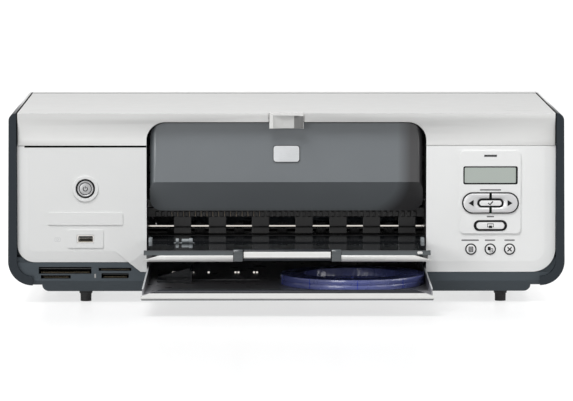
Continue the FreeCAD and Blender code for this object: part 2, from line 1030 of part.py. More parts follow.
def rear_door():
    """The access door in the back, with a round lower edge on its hinge line."""
    turn = rear_hinge()
    thick = size.rear_wall - seam
    half = size.rear_door_half
    leaf = block(
        (-half, half),
        around(turn[0], thick),
        (turn[1], size.rear_door_high - size.fit),
    )
    edge = drum("x", turn, (-half, half), thick / 2)
    pin = drum("x", turn, (-(half + size.wall), half + size.wall), size.rear_pin)
    grip_floor = size.rear_door_high - size.rear_grip_drop
    grip = block(
        (-size.rear_grip_half, size.rear_grip_half),
        (turn[0], rear + PAST),
        (grip_floor, grip_floor + size.rear_grip_tall),
    )
    return carve(join(leaf, edge, pin), grip)


def rear_sockets(start, end):
    """Holes for the power inlet and the data socket between two depths, with their fit."""
    boxes = []
    for kind in ("inlet", "data"):
        wide = getattr(size, f"{kind}_width") + seam
        tall = getattr(size, f"{kind}_tall") + seam
        x = -getattr(size, f"{kind}_x")
        boxes.append(block(around(x, wide), (start, end), around(size.rear_socket_level, tall)))
    return boxes


def socket_shell(kind):
    """A square socket on the main board, open to the back, with a tongue inside."""
    x, z = -getattr(size, f"{kind}_x"), size.rear_socket_level
    wide, tall = getattr(size, f"{kind}_width"), getattr(size, f"{kind}_tall")
    deep = rear - getattr(size, f"{kind}_depth")
    walls = size.shell_wall * 2
    shell = block(around(x, wide), (deep, rear - size.shell_recess), around(z, tall))
    space = block(around(x, wide - walls), (deep + walls, rear), around(z, tall - walls))
    tongue = block(
        around(x, wide / 3), (deep + size.shell_wall, rear - size.rear_wall), around(z, tall / 3)
    )
    return join(carve(shell, space), tongue)


# ---------------------------------------------------------------- disc door

def door_solid(inset, past):
    """The door's outer form, or the space inside it: smaller by an inset, open past its back."""
    near = face + size.door_recess
    half = size.opening_half - size.door_gap - inset
    top = door_top - inset
    slope = size.door_tuck / (size.door_kink - size.door_low)
    slant = (slope * slope + 1).root()
    low = size.door_low - past
    low_near = near + size.door_tuck
    far = low_near + size.wall + past
    back = near + size.door_return + past
    outline = [
        (near + inset, top),
        (near + inset, size.door_kink),
        (low_near + inset * slant + past * slope, low),
        (far, low),
        (far, size.door_pivot_height + size.door_return_rise),
        (back, size.door_kink),
        (back, top),
    ]
    slab = prism("x", outline, (-half, half))
    plan = [
        (-half, near + inset),
        (half, near + inset),
        (half, far + PAST),
        (-half, far + PAST),
    ]
    corner = size.door_round - inset
    shadow = prism("z", plan, (low - PAST, door_top + PAST), [((0, 1), corner)])
    high = [(-half, low), (half, low), (half, top), (-half, top)]
    arch = size.opening_round - size.door_gap
    rounds = [((2, 3), arch), ((0, 1), size.door_low_round - inset)]
    mask = prism("y", high, (near - PAST, far + PAST), rounds)
    return overlap(overlap(slab, shadow), mask)


def disc_door():
    """The smoked door: a shell with side returns, hinge pins and a tilted lower part."""
    shell = carve(door_solid(Size.of(0), Size.of(0)), door_solid(size.door_wall, Size.of(PAST)))
    turn = door_hinge()
    half = size.opening_half - size.door_gap
    pins = []
    for side in (LEFT, RIGHT):
        span = mirrored(side, (half - size.door_wall, plate_x[1] - size.fit))
        pins.append(drum("x", turn, span, size.door_pin))
    return join(shell, *pins)


def door_hinge():
    return (front + size.door_pivot_inset, size.door_pivot_height)


def door_grip():
    """The white grip at the top of the door, hollowed for a fingertip."""
    near = face + size.door_recess
    half = size.notch_half - size.fit
    tab = block((-half, half), (front - size.fit, near), (grip_low, size.top_height - size.fit))
    scoop_y = front - size.fit + size.grip_scoop_depth - size.grip_scoop
    span = (grip_low - PAST, size.top_height - size.fit - size.grip_lid)
    hollow = drum("z", (0, scoop_y), span, size.grip_scoop)
    return carve(tab, hollow)


def door_badge():
    """A blank rounded badge on the door."""
    near = face + size.door_recess
    return rounded_block(
        "y",
        around(0, size.badge_width),
        (near - size.trim_thick, near),
        around(door_top - size.badge_drop, size.badge_height),
        size.badge_round,
    )


# ---------------------------------------------------------------- trays

tray_half = size.opening_half - size.tray_side_gap
tray_lip_half = tray_half + size.tray_lip_flare
out_half = size.opening_half - size.out_side_gap
out_lip_half = out_half + size.out_lip_flare
tray_bottom = floor_top + size.fit
tray_front = front - size.tray_reach
out_front = front - size.out_reach
lip_back = tray_front + size.tray_lip_thick
flare_end = front - size.flare_gap


def main_tray():
    """The paper tray: a floor on two runners, low sides that rise to the back, an end wall."""
    back = tray_front + size.tray_length
    under = size.tray_floor - size.tray_floor_thick
    inside = block(
        (-tray_half, tray_half), (lip_back, back), (under, size.tray_floor)
    )
    plan = [
        (-(tray_lip_half - size.flare_inset), lip_back),
        (tray_lip_half - size.flare_inset, lip_back),
        (tray_half, flare_end),
        (-tray_half, flare_end),
    ]
    flare = prism("z", plan, (under, size.tray_floor))
    pieces = [inside, flare]
    for side in (LEFT, RIGHT):
        edge = tray_half
        pieces.append(
            block(
                mirrored(side, (edge - size.tray_wall, edge)),
                (flare_end, back),
                (under, size.tray_side_high),
            )
        )
        pieces.append(flared_side(side, under))
        runner = mirrored(side, (edge - size.wall * 3, edge - size.wall))
        pieces.append(block(runner, (front + size.wall, back), (tray_bottom, under)))
    pieces.append(
        block(
            (-tray_half, tray_half),
            (back - size.wall, back),
            (under, size.tray_side_high - size.wall),
        )
    )
    left, right = guide_reach()
    key = size.guide_key
    slot = block(
        (left + key, right + size.guide_travel - key),
        around(guide_line(), key + seam),
        (under - PAST, size.tray_floor + PAST),
    )
    return carve(join(*pieces), slot)


def guide_line():
    return front + size.guide_inset


def guide_reach():
    """The left and right faces of the width guide."""
    left = size.guide_side - size.opening_half
    return (left, left + size.guide_width)


def flared_side(side, under):
    """A low side wall in front of the body, splayed outwards and falling towards the lip."""
    near, far = side * (tray_lip_half - size.flare_inset), side * tray_half
    thick = side * size.tray_wall
    plan = [(near, lip_back), (near - thick, lip_back), (far - thick, flare_end), (far, flare_end)]
    wall = prism("z", plan, (under, size.tray_side_high))
    slope = [
        (lip_back - PAST, size.tray_side_low),
        (flare_end, size.tray_side_high),
        (flare_end, size.tray_side_high + PAST),
        (lip_back - PAST, size.tray_side_high + PAST),
    ]
    reach = tray_lip_half + PAST
    return carve(wall, prism("x", slope, (-reach, reach)))


def tray_lip():
    """The white bar across the front of the paper tray, with a rounded nose and cut-back ends."""
    half = tray_lip_half
    nose = [
        (tray_front, size.tray_lip_low),
        (lip_back, size.tray_lip_low),
        (lip_back, size.tray_lip_high),
        (tray_front + size.tray_lip_lean, size.tray_lip_high),
    ]
    rounds = [((0,), size.tray_lip_chin), ((3,), size.tray_lip_round)]
    bar = prism("x", nose, (-half, half), rounds)
    ends = []
    for side in (LEFT, RIGHT):
        tip = [
            (side * (half + PAST), size.tray_lip_high + PAST),
            (side * (half - size.tray_lip_cut), size.tray_lip_high + PAST),
            (side * (half - size.tray_lip_cut), size.tray_lip_high),
            (side * (half + PAST), size.tray_lip_high - size.tray_lip_cut_drop),
        ]
        ends.append(prism("y", tip, (tray_front - PAST, lip_back + PAST)))
    return carve(bar, *ends)


def width_guide():
    """The sliding paper stop at the left of the paper tray, with a foot in the floor's slot."""
    line = guide_line()
    left, right = guide_reach()
    lower = size.tray_floor + size.fit
    thick = size.guide_sole
    sole = block((left, right), around(line, size.guide_depth), (lower, lower + thick))
    fin = block((right - thick, right), around(line, size.guide_depth), (lower, size.guide_top))
    brace = prism(
        "y",
        [(left, lower + thick), (right - thick, lower + thick), (right - thick, size.guide_top)],
        around(line, size.wall),
    )
    key = block(
        (left + size.guide_key + size.fit, right - size.guide_key - size.fit),
        around(line, size.guide_key),
        (size.tray_floor - size.tray_floor_thick + size.fit, lower + thick / 2),
    )
    return join(sole, fin, brace, key)


def output_tray():
    """The glossy tray above: a plate with side rails, a front beam and two pivot pins."""
    pivot = out_hinge()
    back = pivot[0] + size.out_heel
    lip = out_front + size.out_lip_thick
    beam = lip + size.beam_depth
    stop = back - size.slide_stop
    plate_low = size.out_top - size.out_plate
    half = out_half
    pieces = [block((-half, half), (lip, back), (plate_low, size.out_top))]
    bevel = [
        (lip, size.out_top),
        (out_front + size.out_bevel, size.out_lip_high + size.out_bevel_edge),
        (out_front + size.out_bevel, size.out_lip_high),
        (beam, size.out_lip_high),
        (beam, size.out_top),
    ]
    pieces.append(prism("x", bevel, (-out_lip_half, out_lip_half)))
    shelf_top = extender_low() - size.fit
    shelf_low = shelf_top - size.slide_shelf
    slot = size.extender_half + size.fit
    for side in (LEFT, RIGHT):
        rail = mirrored(side, (half - size.rail_width, half))
        pieces.append(block(rail, (lip, back), (size.out_low + size.rail_rise, size.out_top)))
        edge = size.extender_half + size.slide_width
        pieces.append(block(mirrored(side, (slot, edge)), (beam, stop), (shelf_low, plate_low)))
        shelf = mirrored(side, (size.extender_half - size.slide_lap, edge))
        pieces.append(block(shelf, (beam, stop), (shelf_low, shelf_top)))
        pin = mirrored(side, (half - size.rail_width, plate_x[1] - size.fit))
        pieces.append(drum("x", pivot, pin, size.out_pin))
    gap = block(
        (-slot, slot),
        (out_front - PAST, beam + size.extender_thick),
        (shelf_low - PAST, size.out_top + PAST),
    )
    return carve(join(*pieces), gap)


def out_hinge():
    return (front + size.out_pivot_inset, size.out_pivot_height)


def extender_low():
    return size.out_top - size.out_plate - size.fit - size.extender_thick


def output_lip():
    """The white rounded bar under the front edge of the output tray, in two lengths."""
    low, high = size.out_low, size.out_lip_high
    nose = [
        (out_front, low),
        (out_front + size.out_lip_thick, low),
        (out_front + size.out_lip_thick, high),
        (out_front, high),
    ]
    pieces = []
    for side in (LEFT, RIGHT):
        span = mirrored(side, (size.extender_half + size.fit, out_lip_half))
        bar = prism("x", nose, span, [((0,), size.out_lip_round), ((3,), size.out_lip_edge)])
        cut = out_lip_half - size.out_lip_cut
        tip = [
            (side * (out_lip_half + PAST), high + PAST),
            (side * cut, high + PAST),
            (side * cut, high),
            (side * (out_lip_half + PAST), high - size.out_lip_cut_drop),
        ]
        depth = (out_front - PAST, out_front + size.out_lip_thick + PAST)
        pieces.append(carve(bar, prism("y", tip, depth)))
    return group(*pieces)


def tray_extender():
    """The sliding middle plate of the output tray with the two knuckles of its flap."""
    low = extender_low()
    high = low + size.extender_thick
    lip = out_front + size.out_lip_thick
    root = lip + size.flap_inset
    half = size.extender_half
    pieces = [block((-half, half), (lip, lip + size.extender_length), (low, high))]
    turn = flap_hinge()
    for side in (LEFT, RIGHT):
        span = mirrored(side, (size.flap_half + size.fit, half))
        cheek = (size.out_low + size.knuckle_rise, high)
        pieces.append(block(span, (out_front + size.flap_inset, root), cheek))
        pieces.append(block(span, (turn[0] - size.flap_barrel, root), (low, turn[1])))
        pieces.append(drum("x", turn, span, size.flap_barrel))
    pin = drum("x", turn, (-half, half), size.flap_pin)
    return join(*pieces, pin)


def flap_hinge():
    return (out_front + size.flap_pivot_inset, size.out_top - size.flap_pivot_drop)


def catch_flap():
    """The white paper stop that folds up from the end of the extender."""
    turn = flap_hinge()
    half = size.flap_half
    near = out_front + size.flap_inset
    leaf = block((-half, half), (near, near + size.flap_leaf), (turn[1] - size.flap_height, turn[1]))
    barrel = drum("x", turn, (-half, half), size.flap_barrel)
    bridge = block((-half, half), (near, turn[0]), (turn[1] - size.flap_barrel, turn[1]))
    bore = drum("x", turn, (-half - PAST, half + PAST), size.flap_pin + size.shaft_fit)
    return carve(join(leaf, barrel, bridge), bore)


def disc_carrier():
    """The clear blue ring that holds a disc, with a thin web and a hub for the disc's hole."""
    x = tray_half - size.tray_wall - size.fit - size.ring_outer
    y = front - size.ring_inset
    low = size.tray_floor + size.fit
    body = drum("z", (x, y), (low, low + size.ring_height), size.ring_outer)
    well = drum("z", (x, y), (low + size.ring_web, low + size.ring_height + PAST), size.ring_inner)
    groove_z = around(low + size.ring_height / 2, size.groove_height)
    band = carve(
        drum("z", (x, y), groove_z, size.ring_outer + PAST),
        drum("z", (x, y), groove_z, size.ring_outer - size.groove_depth),
    )
    hub = drum("z", (x, y), (low, low + size.ring_web + size.hub_rise), size.hub_radius)
    return join(carve(body, well, band), hub)


# ---------------------------------------------------------------- frame, platen and rollers

def frame_plate(side):
    """An upright plate beside the opening that carries the door, tray and roller shafts."""
    span = mirrored(side, plate_x)
    reach = front + size.plate_reach
    tall = front + size.guard_inset
    top = opening_top - size.fit
    web = block(span, (fascia_back, reach), (floor_top, size.plate_low_top))
    riser = block(span, (apron_back + size.fit, tall), (size.fascia_flange, top))
    long = mirrored(side, (plate_x[0] - PAST, plate_x[1] + PAST))
    bores = [
        drum("x", door_hinge(), long, size.door_pin + size.shaft_fit),
        drum("x", out_hinge(), long, size.out_pin + size.shaft_fit),
        drum("x", exit_line(), long, size.exit_shaft + size.shaft_fit),
        drum("x", feed_line(), long, size.feed_shaft + size.shaft_fit),
    ]
    return carve(join(web, riser), *bores)


def exit_line():
    return (front + size.exit_inset, size.exit_height)


def feed_line():
    return (front + size.feed_inset, size.feed_height)


def tongue_places():
    """Three tongues are placed from the left end of the opening and four from the right end."""
    left = [getattr(size, f"tongue_{number}") - size.opening_half for number in (1, 2, 3)]
    right = [size.opening_half - getattr(size, f"tongue_{number}") for number in (4, 5, 6, 7)]
    return left + right


def exit_guard():
    """The black bar over the paper exit, with seven tongues in front of the output shaft."""
    near = front + size.guard_inset
    half = size.opening_half
    low = size.guard_height
    bar = block((-half, half), (near + size.fit, near + size.guard_depth), (low, low + size.guard_tall))
    pieces = [bar]
    for x in tongue_places():
        pieces.append(
            block(
                around(x, size.tongue_width),
                (near + size.fit, near + size.fit + size.tongue_thick),
                (size.tongue_low, low + PAST),
            )
        )
    tooth = size.comb_pitch / 2
    count = int(2 * (half - size.comb_margin).number / size.comb_pitch.number)
    first = size.comb_pitch * (0.5 - count / 2)
    for number in range(count):
        x = first + size.comb_pitch * number
        span = (x - tooth / 2, x + tooth / 2)
        foot = low + size.comb_rise
        depth = (near - size.comb_reach, near + size.fit + PAST)
        pieces.append(block(span, depth, (foot, foot + size.comb_tall)))
    return join(*pieces)


def platen():
    """The ribbed table under the print path, held between the frame plates."""
    half = size.opening_half
    near = front + size.exit_inset + size.exit_roller + size.platen_gap
    far = front + size.feed_inset - size.feed_roller - size.platen_gap
    top = size.platen_top
    low = top - size.platen_thick
    pieces = [block((-half, half), (near, far), (low - size.platen_thick, low))]
    ribs = 12
    for number in range(ribs):
        x = -half + (half * 2) * ((number + 0.5) / ribs)
        pieces.append(block(around(x, size.platen_rib), (near, far), (low - size.rib_root, top)))
    chute_top = size.exit_height - size.exit_shaft - size.chute_drop
    chute_low = chute_top - size.chute_thick
    chute = (out_hinge()[0] + size.out_heel * 2, near + size.chute_thick)
    pieces.append(block((-half, half), chute, (chute_low, chute_top)))
    pieces.append(block((-half, half), (near, near + size.platen_rib), (chute_low, low)))
    return join(*pieces)


def roller_belt_span():
    """Where the rollers' belt runs, outside the left frame plate."""
    near = plate_x[1] + size.roller_belt_gap
    return (-(near + size.roller_belt), -near)


def exit_pulley():
    """The output pulley's radius, which makes both rollers move paper at one speed."""
    return size.feed_pulley * size.exit_roller / size.feed_roller


def feed_end():
    """How far left the roller shafts reach."""
    return roller_belt_span()[0] - size.shaft_end


def output_roller():
    """The steel output shaft with eight small rubber rollers and a pulley."""
    line = exit_line()
    pieces = [drum("x", line, (feed_end(), plate_x[1] + size.roller_belt_gap), size.exit_shaft)]
    stops = [size.first_stop - size.opening_half] + tongue_places()
    for left, right in zip(stops, stops[1:]):
        x = (left + right) / 2
        pieces.append(drum("x", line, around(x, size.exit_roller_width), size.exit_roller))
    pieces.append(drum("x", line, roller_belt_span(), exit_pulley()))
    return join(*pieces)


def feed_roller():
    """The steel feed shaft with four rubber rollers and a pulley."""
    line = feed_line()
    pieces = [drum("x", line, (feed_end(), plate_x[1] + size.roller_belt_gap), size.feed_shaft)]
    for step in (-1.5, -0.5, 0.5, 1.5):
        x = size.opening_half * step / 2
        pieces.append(drum("x", line, around(x, size.feed_roller_width), size.feed_roller))
    pieces.append(drum("x", line, roller_belt_span(), size.feed_pulley))
    return join(*pieces)


def belt_shape(axis, centres, radii, span):
    """Two discs and the straight-sided band that touches both."""
    (u1, v1), (u2, v2) = centres
    r1, r2 = radii
    du, dv = u2 - u1, v2 - v1
    gap = (du * du + dv * dv).root()
    lean = (r1 - r2) / gap
    wide = (1 - lean * lean).root()
    outline = []
    for u, v, radius, sides in ((u1, v1, r1, (1, -1)), (u2, v2, r2, (-1, 1))):
        for way in sides:
            across_u = (du * lean - dv * wide * way) / gap
            across_v = (dv * lean + du * wide * way) / gap
            outline.append((u + across_u * radius, v + across_v * radius))
    discs = [drum(axis, (u1, v1), span, r1), drum(axis, (u2, v2), span, r2)]
    return join(prism(axis, outline, span), *discs)


def loop_belt(axis, centres, radii, span):
    """A flat belt round two pulleys, clear of both by the running fit."""
    inner = [radius + size.shaft_fit for radius in radii]
    outer = [radius + size.belt_thick for radius in inner]
    return carve(belt_shape(axis, centres, outer, span), belt_shape(axis, centres, inner, span))


def roller_belt():
    radii = (exit_pulley(), size.feed_pulley)
    return loop_belt("x", (exit_line(), feed_line()), radii, roller_belt_span())


# ---------------------------------------------------------------- print chassis and carriage

def print_chassis():
    """A bent steel frame that stands on the base and carries the rod, the belt and the motor."""
    left, right = chassis_left, chassis_right
    thick = size.chassis_thick
    far = front + size.chassis_back
    near = far - size.chassis_depth
    foot = floor_top
    back_low = size.carriage_low
    back = block((left, right), (far - thick, far), (back_low, chassis_top))
    ends = [
        block((left, left + thick), (near, far), (foot, chassis_top)),
        block((right - thick, right), (near, far), (foot, chassis_top)),
    ]
    rod_bore = drum("x", rod_line(), (left - PAST, right + PAST), size.rod_radius)
    through = (far - thick - PAST, far + PAST)
    shafts = [drum("y", (x, size.belt_height), through, size.pulley_shaft) for x in pulley_places()]
    lip = block((left, right), (far - size.chassis_lip, far), (chassis_top - thick, chassis_top))
    motor_hole = drum("y", (pulley_places()[1], size.belt_height), through, size.motor_boss)
    return carve(join(back, *ends, lip), rod_bore, *shafts, motor_hole)


def rod_line():
    return (front + size.rod_inset, size.rod_height)


def pulley_places():
    edge = size.pulley_radius + size.belt_thick + size.pulley_gap
    return (chassis_left + edge, chassis_right - edge)


def belt_span():
    return around(front + size.belt_inset, size.belt_width)


def pulley(x):
    """A belt pulley with its own short shaft in the chassis."""
    wheel = drum("y", (x, size.belt_height), belt_span(), size.pulley_radius)
    span = (front + size.belt_inset, front + size.chassis_back)
    stub = drum("y", (x, size.belt_height), span, size.pulley_shaft - size.shaft_fit)
    return join(wheel, stub)


def carriage_belt():
    centres = [(x, size.belt_height) for x in pulley_places()]
    return loop_belt("y", centres, (size.pulley_radius, size.pulley_radius), belt_span())


def carriage_motor():
    """The motor that turns the right belt pulley, behind the chassis."""
    x = pulley_places()[1]
    near = front + size.chassis_back
    far = near + size.motor_length
    body = drum("y", (x, size.belt_height), (near, far), size.motor_radius)
    cap = drum("y", (x, size.belt_height), (far, far + size.motor_cap_length), size.motor_cap)
    return join(body, cap)


def carriage():
    """The print carriage: a box open at its top, with two bays and a bearing on the rod."""
    x = around(park_x, size.carriage_width)
    near, far = front + size.carriage_front, front + size.carriage_back
    low, high = size.carriage_low, size.carriage_high
    wall = size.wall
    body = block(x, (near, far), (low, high - size.bay_drop))
    bays = []
    for bay in bay_places():
        wide = size.cartridge_width + seam
        bays.append(block(around(bay, wide), (near + wall, bay_back()), (low + wall, high)))
        hole = size.cartridge_width - (size.nose_side - size.nose_fit) * 2
        depth = (near + size.nose_inset, bay_back() - size.nose_inset)
        bays.append(block(around(bay, hole), depth, (low - PAST, low + wall + PAST)))
    reach = size.rod_radius + size.shaft_fit
    bore = drum("x", rod_line(), (x[0] - PAST, x[1] + PAST), reach)
    return carve(body, *bays, bore)


def bay_back():
    """The back of both bays, a wall in front of the rod."""
    return front + size.rod_inset - size.rod_radius - size.rod_wall


def bay_places():
    shift = size.cartridge_width / 2 + size.wall
    return (park_x - shift, park_x + shift)


def cartridge(number):
    """An ink cartridge: a block that stands in its bay with a nose through the bay's floor."""
    bay = bay_places()[number]
    near = front + size.carriage_front + size.wall + size.fit
    far = bay_back() - size.fit
    low = size.carriage_low + size.wall
    high = size.carriage_high - size.cartridge_drop
    wide = around(bay, size.cartridge_width)
    body = rounded_block("x", wide, (near, far), (low, high), size.cartridge_round)
    inset = size.nose_inset
    nose = block(
        around(bay, size.cartridge_width - size.nose_side * 2),
        (near + inset, far - inset),
        (low - size.nose_drop, low + PAST),
    )
    return join(body, nose)


def latch_line():
    depth = front + size.carriage_back - size.latch_pivot_inset
    return (depth, size.carriage_high - size.latch_pivot_drop)


def latch_width():
    return size.cartridge_width - size.latch_side * 2


def latch(number):
    """A lid that swings up from the back of the carriage to free one cartridge."""
    bay = bay_places()[number]
    turn = latch_line()
    wide = latch_width()
    low = size.carriage_high - size.cartridge_drop + size.fit
    high = low + size.latch_thick
    near = front + size.carriage_front + size.latch_inset
    lid = block(around(bay, wide), (near, turn[0]), (low, high))
    heel = (turn[0] - size.latch_barrel, turn[0] + size.latch_pin)
    arm = block(around(bay, wide), heel, (turn[1], high))
    barrel = drum("x", turn, around(bay, wide), size.latch_barrel)
    bore = drum("x", turn, around(bay, wide + PAST * 2), size.latch_pin + size.shaft_fit)
    return carve(join(lid, arm, barrel), bore)


def carriage_ears():
    """Three ears and a pin behind the bays that the latches turn on."""
    turn = latch_line()
    left, right = around(park_x, size.carriage_width)
    reach = latch_width() / 2 + size.fit
    pieces = [drum("x", turn, (left, right), size.latch_pin)]
    low = turn[1] - size.latch_ear_root
    high = turn[1] + size.latch_barrel
    bay_left, bay_right = bay_places()
    spans = (
        (left, bay_left - reach),
        (bay_left + reach, bay_right - reach),
        (bay_right + reach, right),
    )
    for span in spans:
        pieces.append(block(span, around(turn[0], size.latch_ear_depth), (low, high)))
    return pieces


def encoder_strip():
    """The thin clear strip that the carriage reads its place from."""
    left, right = chassis_left + size.chassis_thick, chassis_right - size.chassis_thick
    line = front + size.carriage_back + size.strip_gap
    low = chassis_top - size.strip_drop
    return block((left, right), (line, line + size.strip_thick), (low, low + size.strip_tall))


def service_station():
    """The parking block under the carriage with two soft caps."""
    near, far = front + size.carriage_front, front + size.rod_inset - size.station_gap
    x = (plate_x[1] + size.wall, chassis_right - size.chassis_thick - size.fit)
    top = size.carriage_low - size.station_drop
    pieces = [block(x, (near, far), (floor_top, top))]
    inset = size.cap_inset
    for bay in bay_places():
        reach = (top - PAST, size.carriage_low - size.cap_gap)
        pieces.append(block(around(bay, size.cap_width), (near + inset, far - inset), reach))
    return join(*pieces)


# ---------------------------------------------------------------- electrics

def main_board():
    """The main board on four posts at the back left."""
    low = floor_top + size.board_stand
    high = low + size.board_thick
    x = (chassis_left + size.board_chassis_gap, -(plate_x[1] + size.board_frame_gap))
    y = (
        front + size.chassis_back + size.board_chassis_gap,
        rear - size.rear_wall - size.board_rear_gap,
    )
    board = block(x, y, (low, high))
    inset = size.post_inset
    posts = []
    for post_x in (x[0] + inset, x[1] - inset):
        for post_y in (y[0] + inset, y[1] - inset):
            posts.append(drum("z", (post_x, post_y), (floor_top, low), size.post_radius))
    chip = block(
        around((x[0] + x[1]) / 2, size.chip_width),
        around((y[0] + y[1]) / 2 - size.chip_shift, size.chip_width),
        (high, high + size.chip_tall),
    )
    return join(board, *posts, chip)


def feed_motor():
    """The motor of the rollers, in line with the feed shaft, on a stand."""
    y, z = feed_line()
    near = feed_end() - size.fit
    span = (near - size.motor_length, near)
    body = drum("x", (y, z), span, size.motor_radius)
    stand = block(span, around(y, size.motor_radius), (floor_top, z))
    return join(body, stand)


# ---------------------------------------------------------------- keys, sockets and trim

control_face = face - size.control_raise
key_face = control_face - size.key_stand
board_face = panel_back + size.board_gap
stem_end = board_face - size.key_travel - size.fit


def key_outline(wide, tall, level, start, end):
    """A key's stadium shape between two depths."""
    x, z = around(control_x, wide), around(level, tall)
    return rounded_block("y", x, (start, end), z, tall / 2 - size.shaft_fit)


def control_plate():
    """The raised plate round the display and the keys."""
    plate = rounded_block(
        "y",
        around(control_x, size.control_width),
        (control_face, face),
        control_span,
        size.control_round,
    )
    near, far = control_face - PAST, face + PAST
    display = rounded_block(
        "y",
        around(control_x, size.display_width),
        (near, far),
        around(display_height, size.display_tall),
        size.display_round,
    )
    rocker = key_outline(size.rocker_width + seam, size.rocker_tall + seam, rocker_height, near, far)
    label = key_outline(size.print_width + seam, size.print_tall + seam, print_height, near, far)
    bar = block(
        around(control_x, size.bar_width),
        (near, far),
        around(bar_height, size.bar_tall),
    )
    return carve(plate, display, rocker, label, bar)


def status_light():
    return block(
        around(control_x, size.bar_width),
        (control_face + size.fit, face),
        around(bar_height, size.bar_tall),
    )


def display_window():
    """The display module, set a little below the control plate's face."""
    pane = rounded_block(
        "y",
        around(control_x, size.display_width),
        (control_face + size.display_sink, panel_back),
        around(display_height, size.display_tall),
        size.display_round,
    )
    module = block(
        around(control_x, size.display_width + size.wall),
        (panel_back, board_face),
        around(display_height, size.display_tall + size.wall),
    )
    return join(pane, module)


def stem(x, z, radius):
    """The stem of a key, ending short of its switch by a little more than its travel."""
    return drum("y", (x, z), (key_face + PAST, stem_end), radius)


def rocker_key(side):
    """One half of the wide rocker, hollowed for the middle key."""
    whole = key_outline(size.rocker_width, size.rocker_tall, rocker_height, key_face, panel_back)
    split = size.rocker_split / 2
    reach = size.rocker_width / 2 + PAST
    near, far = key_face - PAST, panel_back + PAST
    keep = block(
        around(control_x + side * (split + reach) / 2, reach - split),
        (near, far),
        around(rocker_height, size.rocker_tall + PAST * 2),
    )
    ring = size.ring_gap * 2 + seam
    middle = key_outline(size.enter_width + ring, size.enter_tall + ring, rocker_height, near, far)
    post = stem(control_x + side * size.rocker_stem_x, rocker_height, size.rocker_stem)
    return join(carve(overlap(whole, keep), middle), post)


def enter_key():
    """The middle key with the rim round it."""
    rim = size.ring_gap * 2
    cap = key_outline(
        size.enter_width + rim,
        size.enter_tall + rim,
        rocker_height,
        key_face - size.enter_rise,
        panel_back,
    )
    return join(cap, stem(control_x, rocker_height, size.key_stem))


def print_key():
    cap = key_outline(size.print_width, size.print_tall, print_height, key_face, panel_back)
    return join(cap, stem(control_x, print_height, size.key_stem))


def print_ring():
    """The dark raised ring round the print key."""
    wide = size.print_width + size.print_ring_width
    tall = size.print_tall + size.print_ring_tall
    outer = key_outline(wide, tall, print_height, control_face - size.ring_rise, control_face)
    inner = key_outline(
        size.print_width + seam,
        size.print_tall + seam,
        print_height,
        control_face - PAST,
        control_face + PAST,
    )
    return carve(outer, inner)


def round_key(number):
    line = (round_key_places()[number], round_height)
    cap = drum("y", line, (face - size.key_stand, panel_back), size.round_key)
    return join(cap, drum("y", line, (panel_back - PAST, stem_end), size.key_stem))


def round_rings():
    """The dark rings that the three round keys stand in."""
    rings = []
    for x in round_key_places():
        line = (x, round_height)
        outer = drum("y", line, (face - size.ring_rise, face), size.round_key + size.round_ring)
        inner = drum("y", line, (face - PAST, face + PAST), size.round_key + size.fit)
        rings.append(carve(outer, inner))
    return rings


def switch_board(x, z):
    """A board on two ribs behind its panel, with the switches on its face."""
    far = board_face + size.board_thick
    board = block(x, (board_face, far), z)
    ribs = [block(around(rib_x, size.wall), (panel_back, far), z) for rib_x in x]
    return join(board, *ribs)


def control_board():
    x = around(control_x, size.control_width + size.board_margin * 2)
    return switch_board(x, (round_height - size.board_low_margin, control_span[1]))


def power_board():
    x = around(power_line[0], size.power_board_width)
    return switch_board(x, around(power_line[1], size.power_board_tall))


def power_bezel():
    outer = drum("y", power_line, (face - size.bezel_rise, face), size.bezel_radius)
    hole = (face - size.bezel_rise - PAST, face + PAST)
    return carve(outer, drum("y", power_line, hole, size.power_hole))


def power_button():
    """The round power button: a skirt in the panel's hole and a smaller raised cap."""
    skirt = drum("y", power_line, (face, panel_back), size.power_hole - size.fit)
    cap = drum("y", power_line, (face - size.power_proud, face + PAST), size.power_radius)
    post = drum("y", power_line, (panel_back - PAST, stem_end), size.power_stem)
    return join(skirt, cap, post)


def name_plate():
    """A blank raised plate."""
    return rounded_block(
        "y",
        around(label_spot[0], size.label_width),
        (face - size.trim_thick, face),
        around(label_spot[1], size.label_tall),
        size.label_round,
    )


def socket_pad():
    """The raised pad round the front socket."""
    pad = rounded_block(
        "y",
        around(socket_spot[0], size.pad_width),
        (face - size.trim_thick, face),
        around(socket_spot[1], size.pad_tall),
        size.pad_round,
    )
    hole = block(
        around(socket_spot[0], size.socket_width + seam),
        (face - size.trim_thick - PAST, face + PAST),
        around(socket_spot[1], size.socket_tall + seam),
    )
    return carve(pad, hole)


def socket_sleeve():
    """The metal sleeve of the front socket."""
    x, z = socket_spot
    walls = size.sleeve_wall * 2
    near, deep = face - size.sleeve_rise, face + size.socket_depth
    sleeve = block(around(x, size.socket_width), (near, deep), around(z, size.socket_tall))
    space = block(
        around(x, size.socket_width - walls),
        (near - PAST, deep - size.sleeve_wall),
        around(z, size.socket_tall - walls),
    )
    return carve(sleeve, space)


def socket_tongue():
    """The contact tongue inside the front socket."""
    x, z = socket_spot
    high = z + size.socket_tall / 2 - size.sleeve_wall
    return block(
        around(x, size.socket_width - size.sleeve_wall * 4),
        (face + size.contact_recess, face + size.socket_depth - size.sleeve_wall),
        (high - size.contact_thick, high),
    )


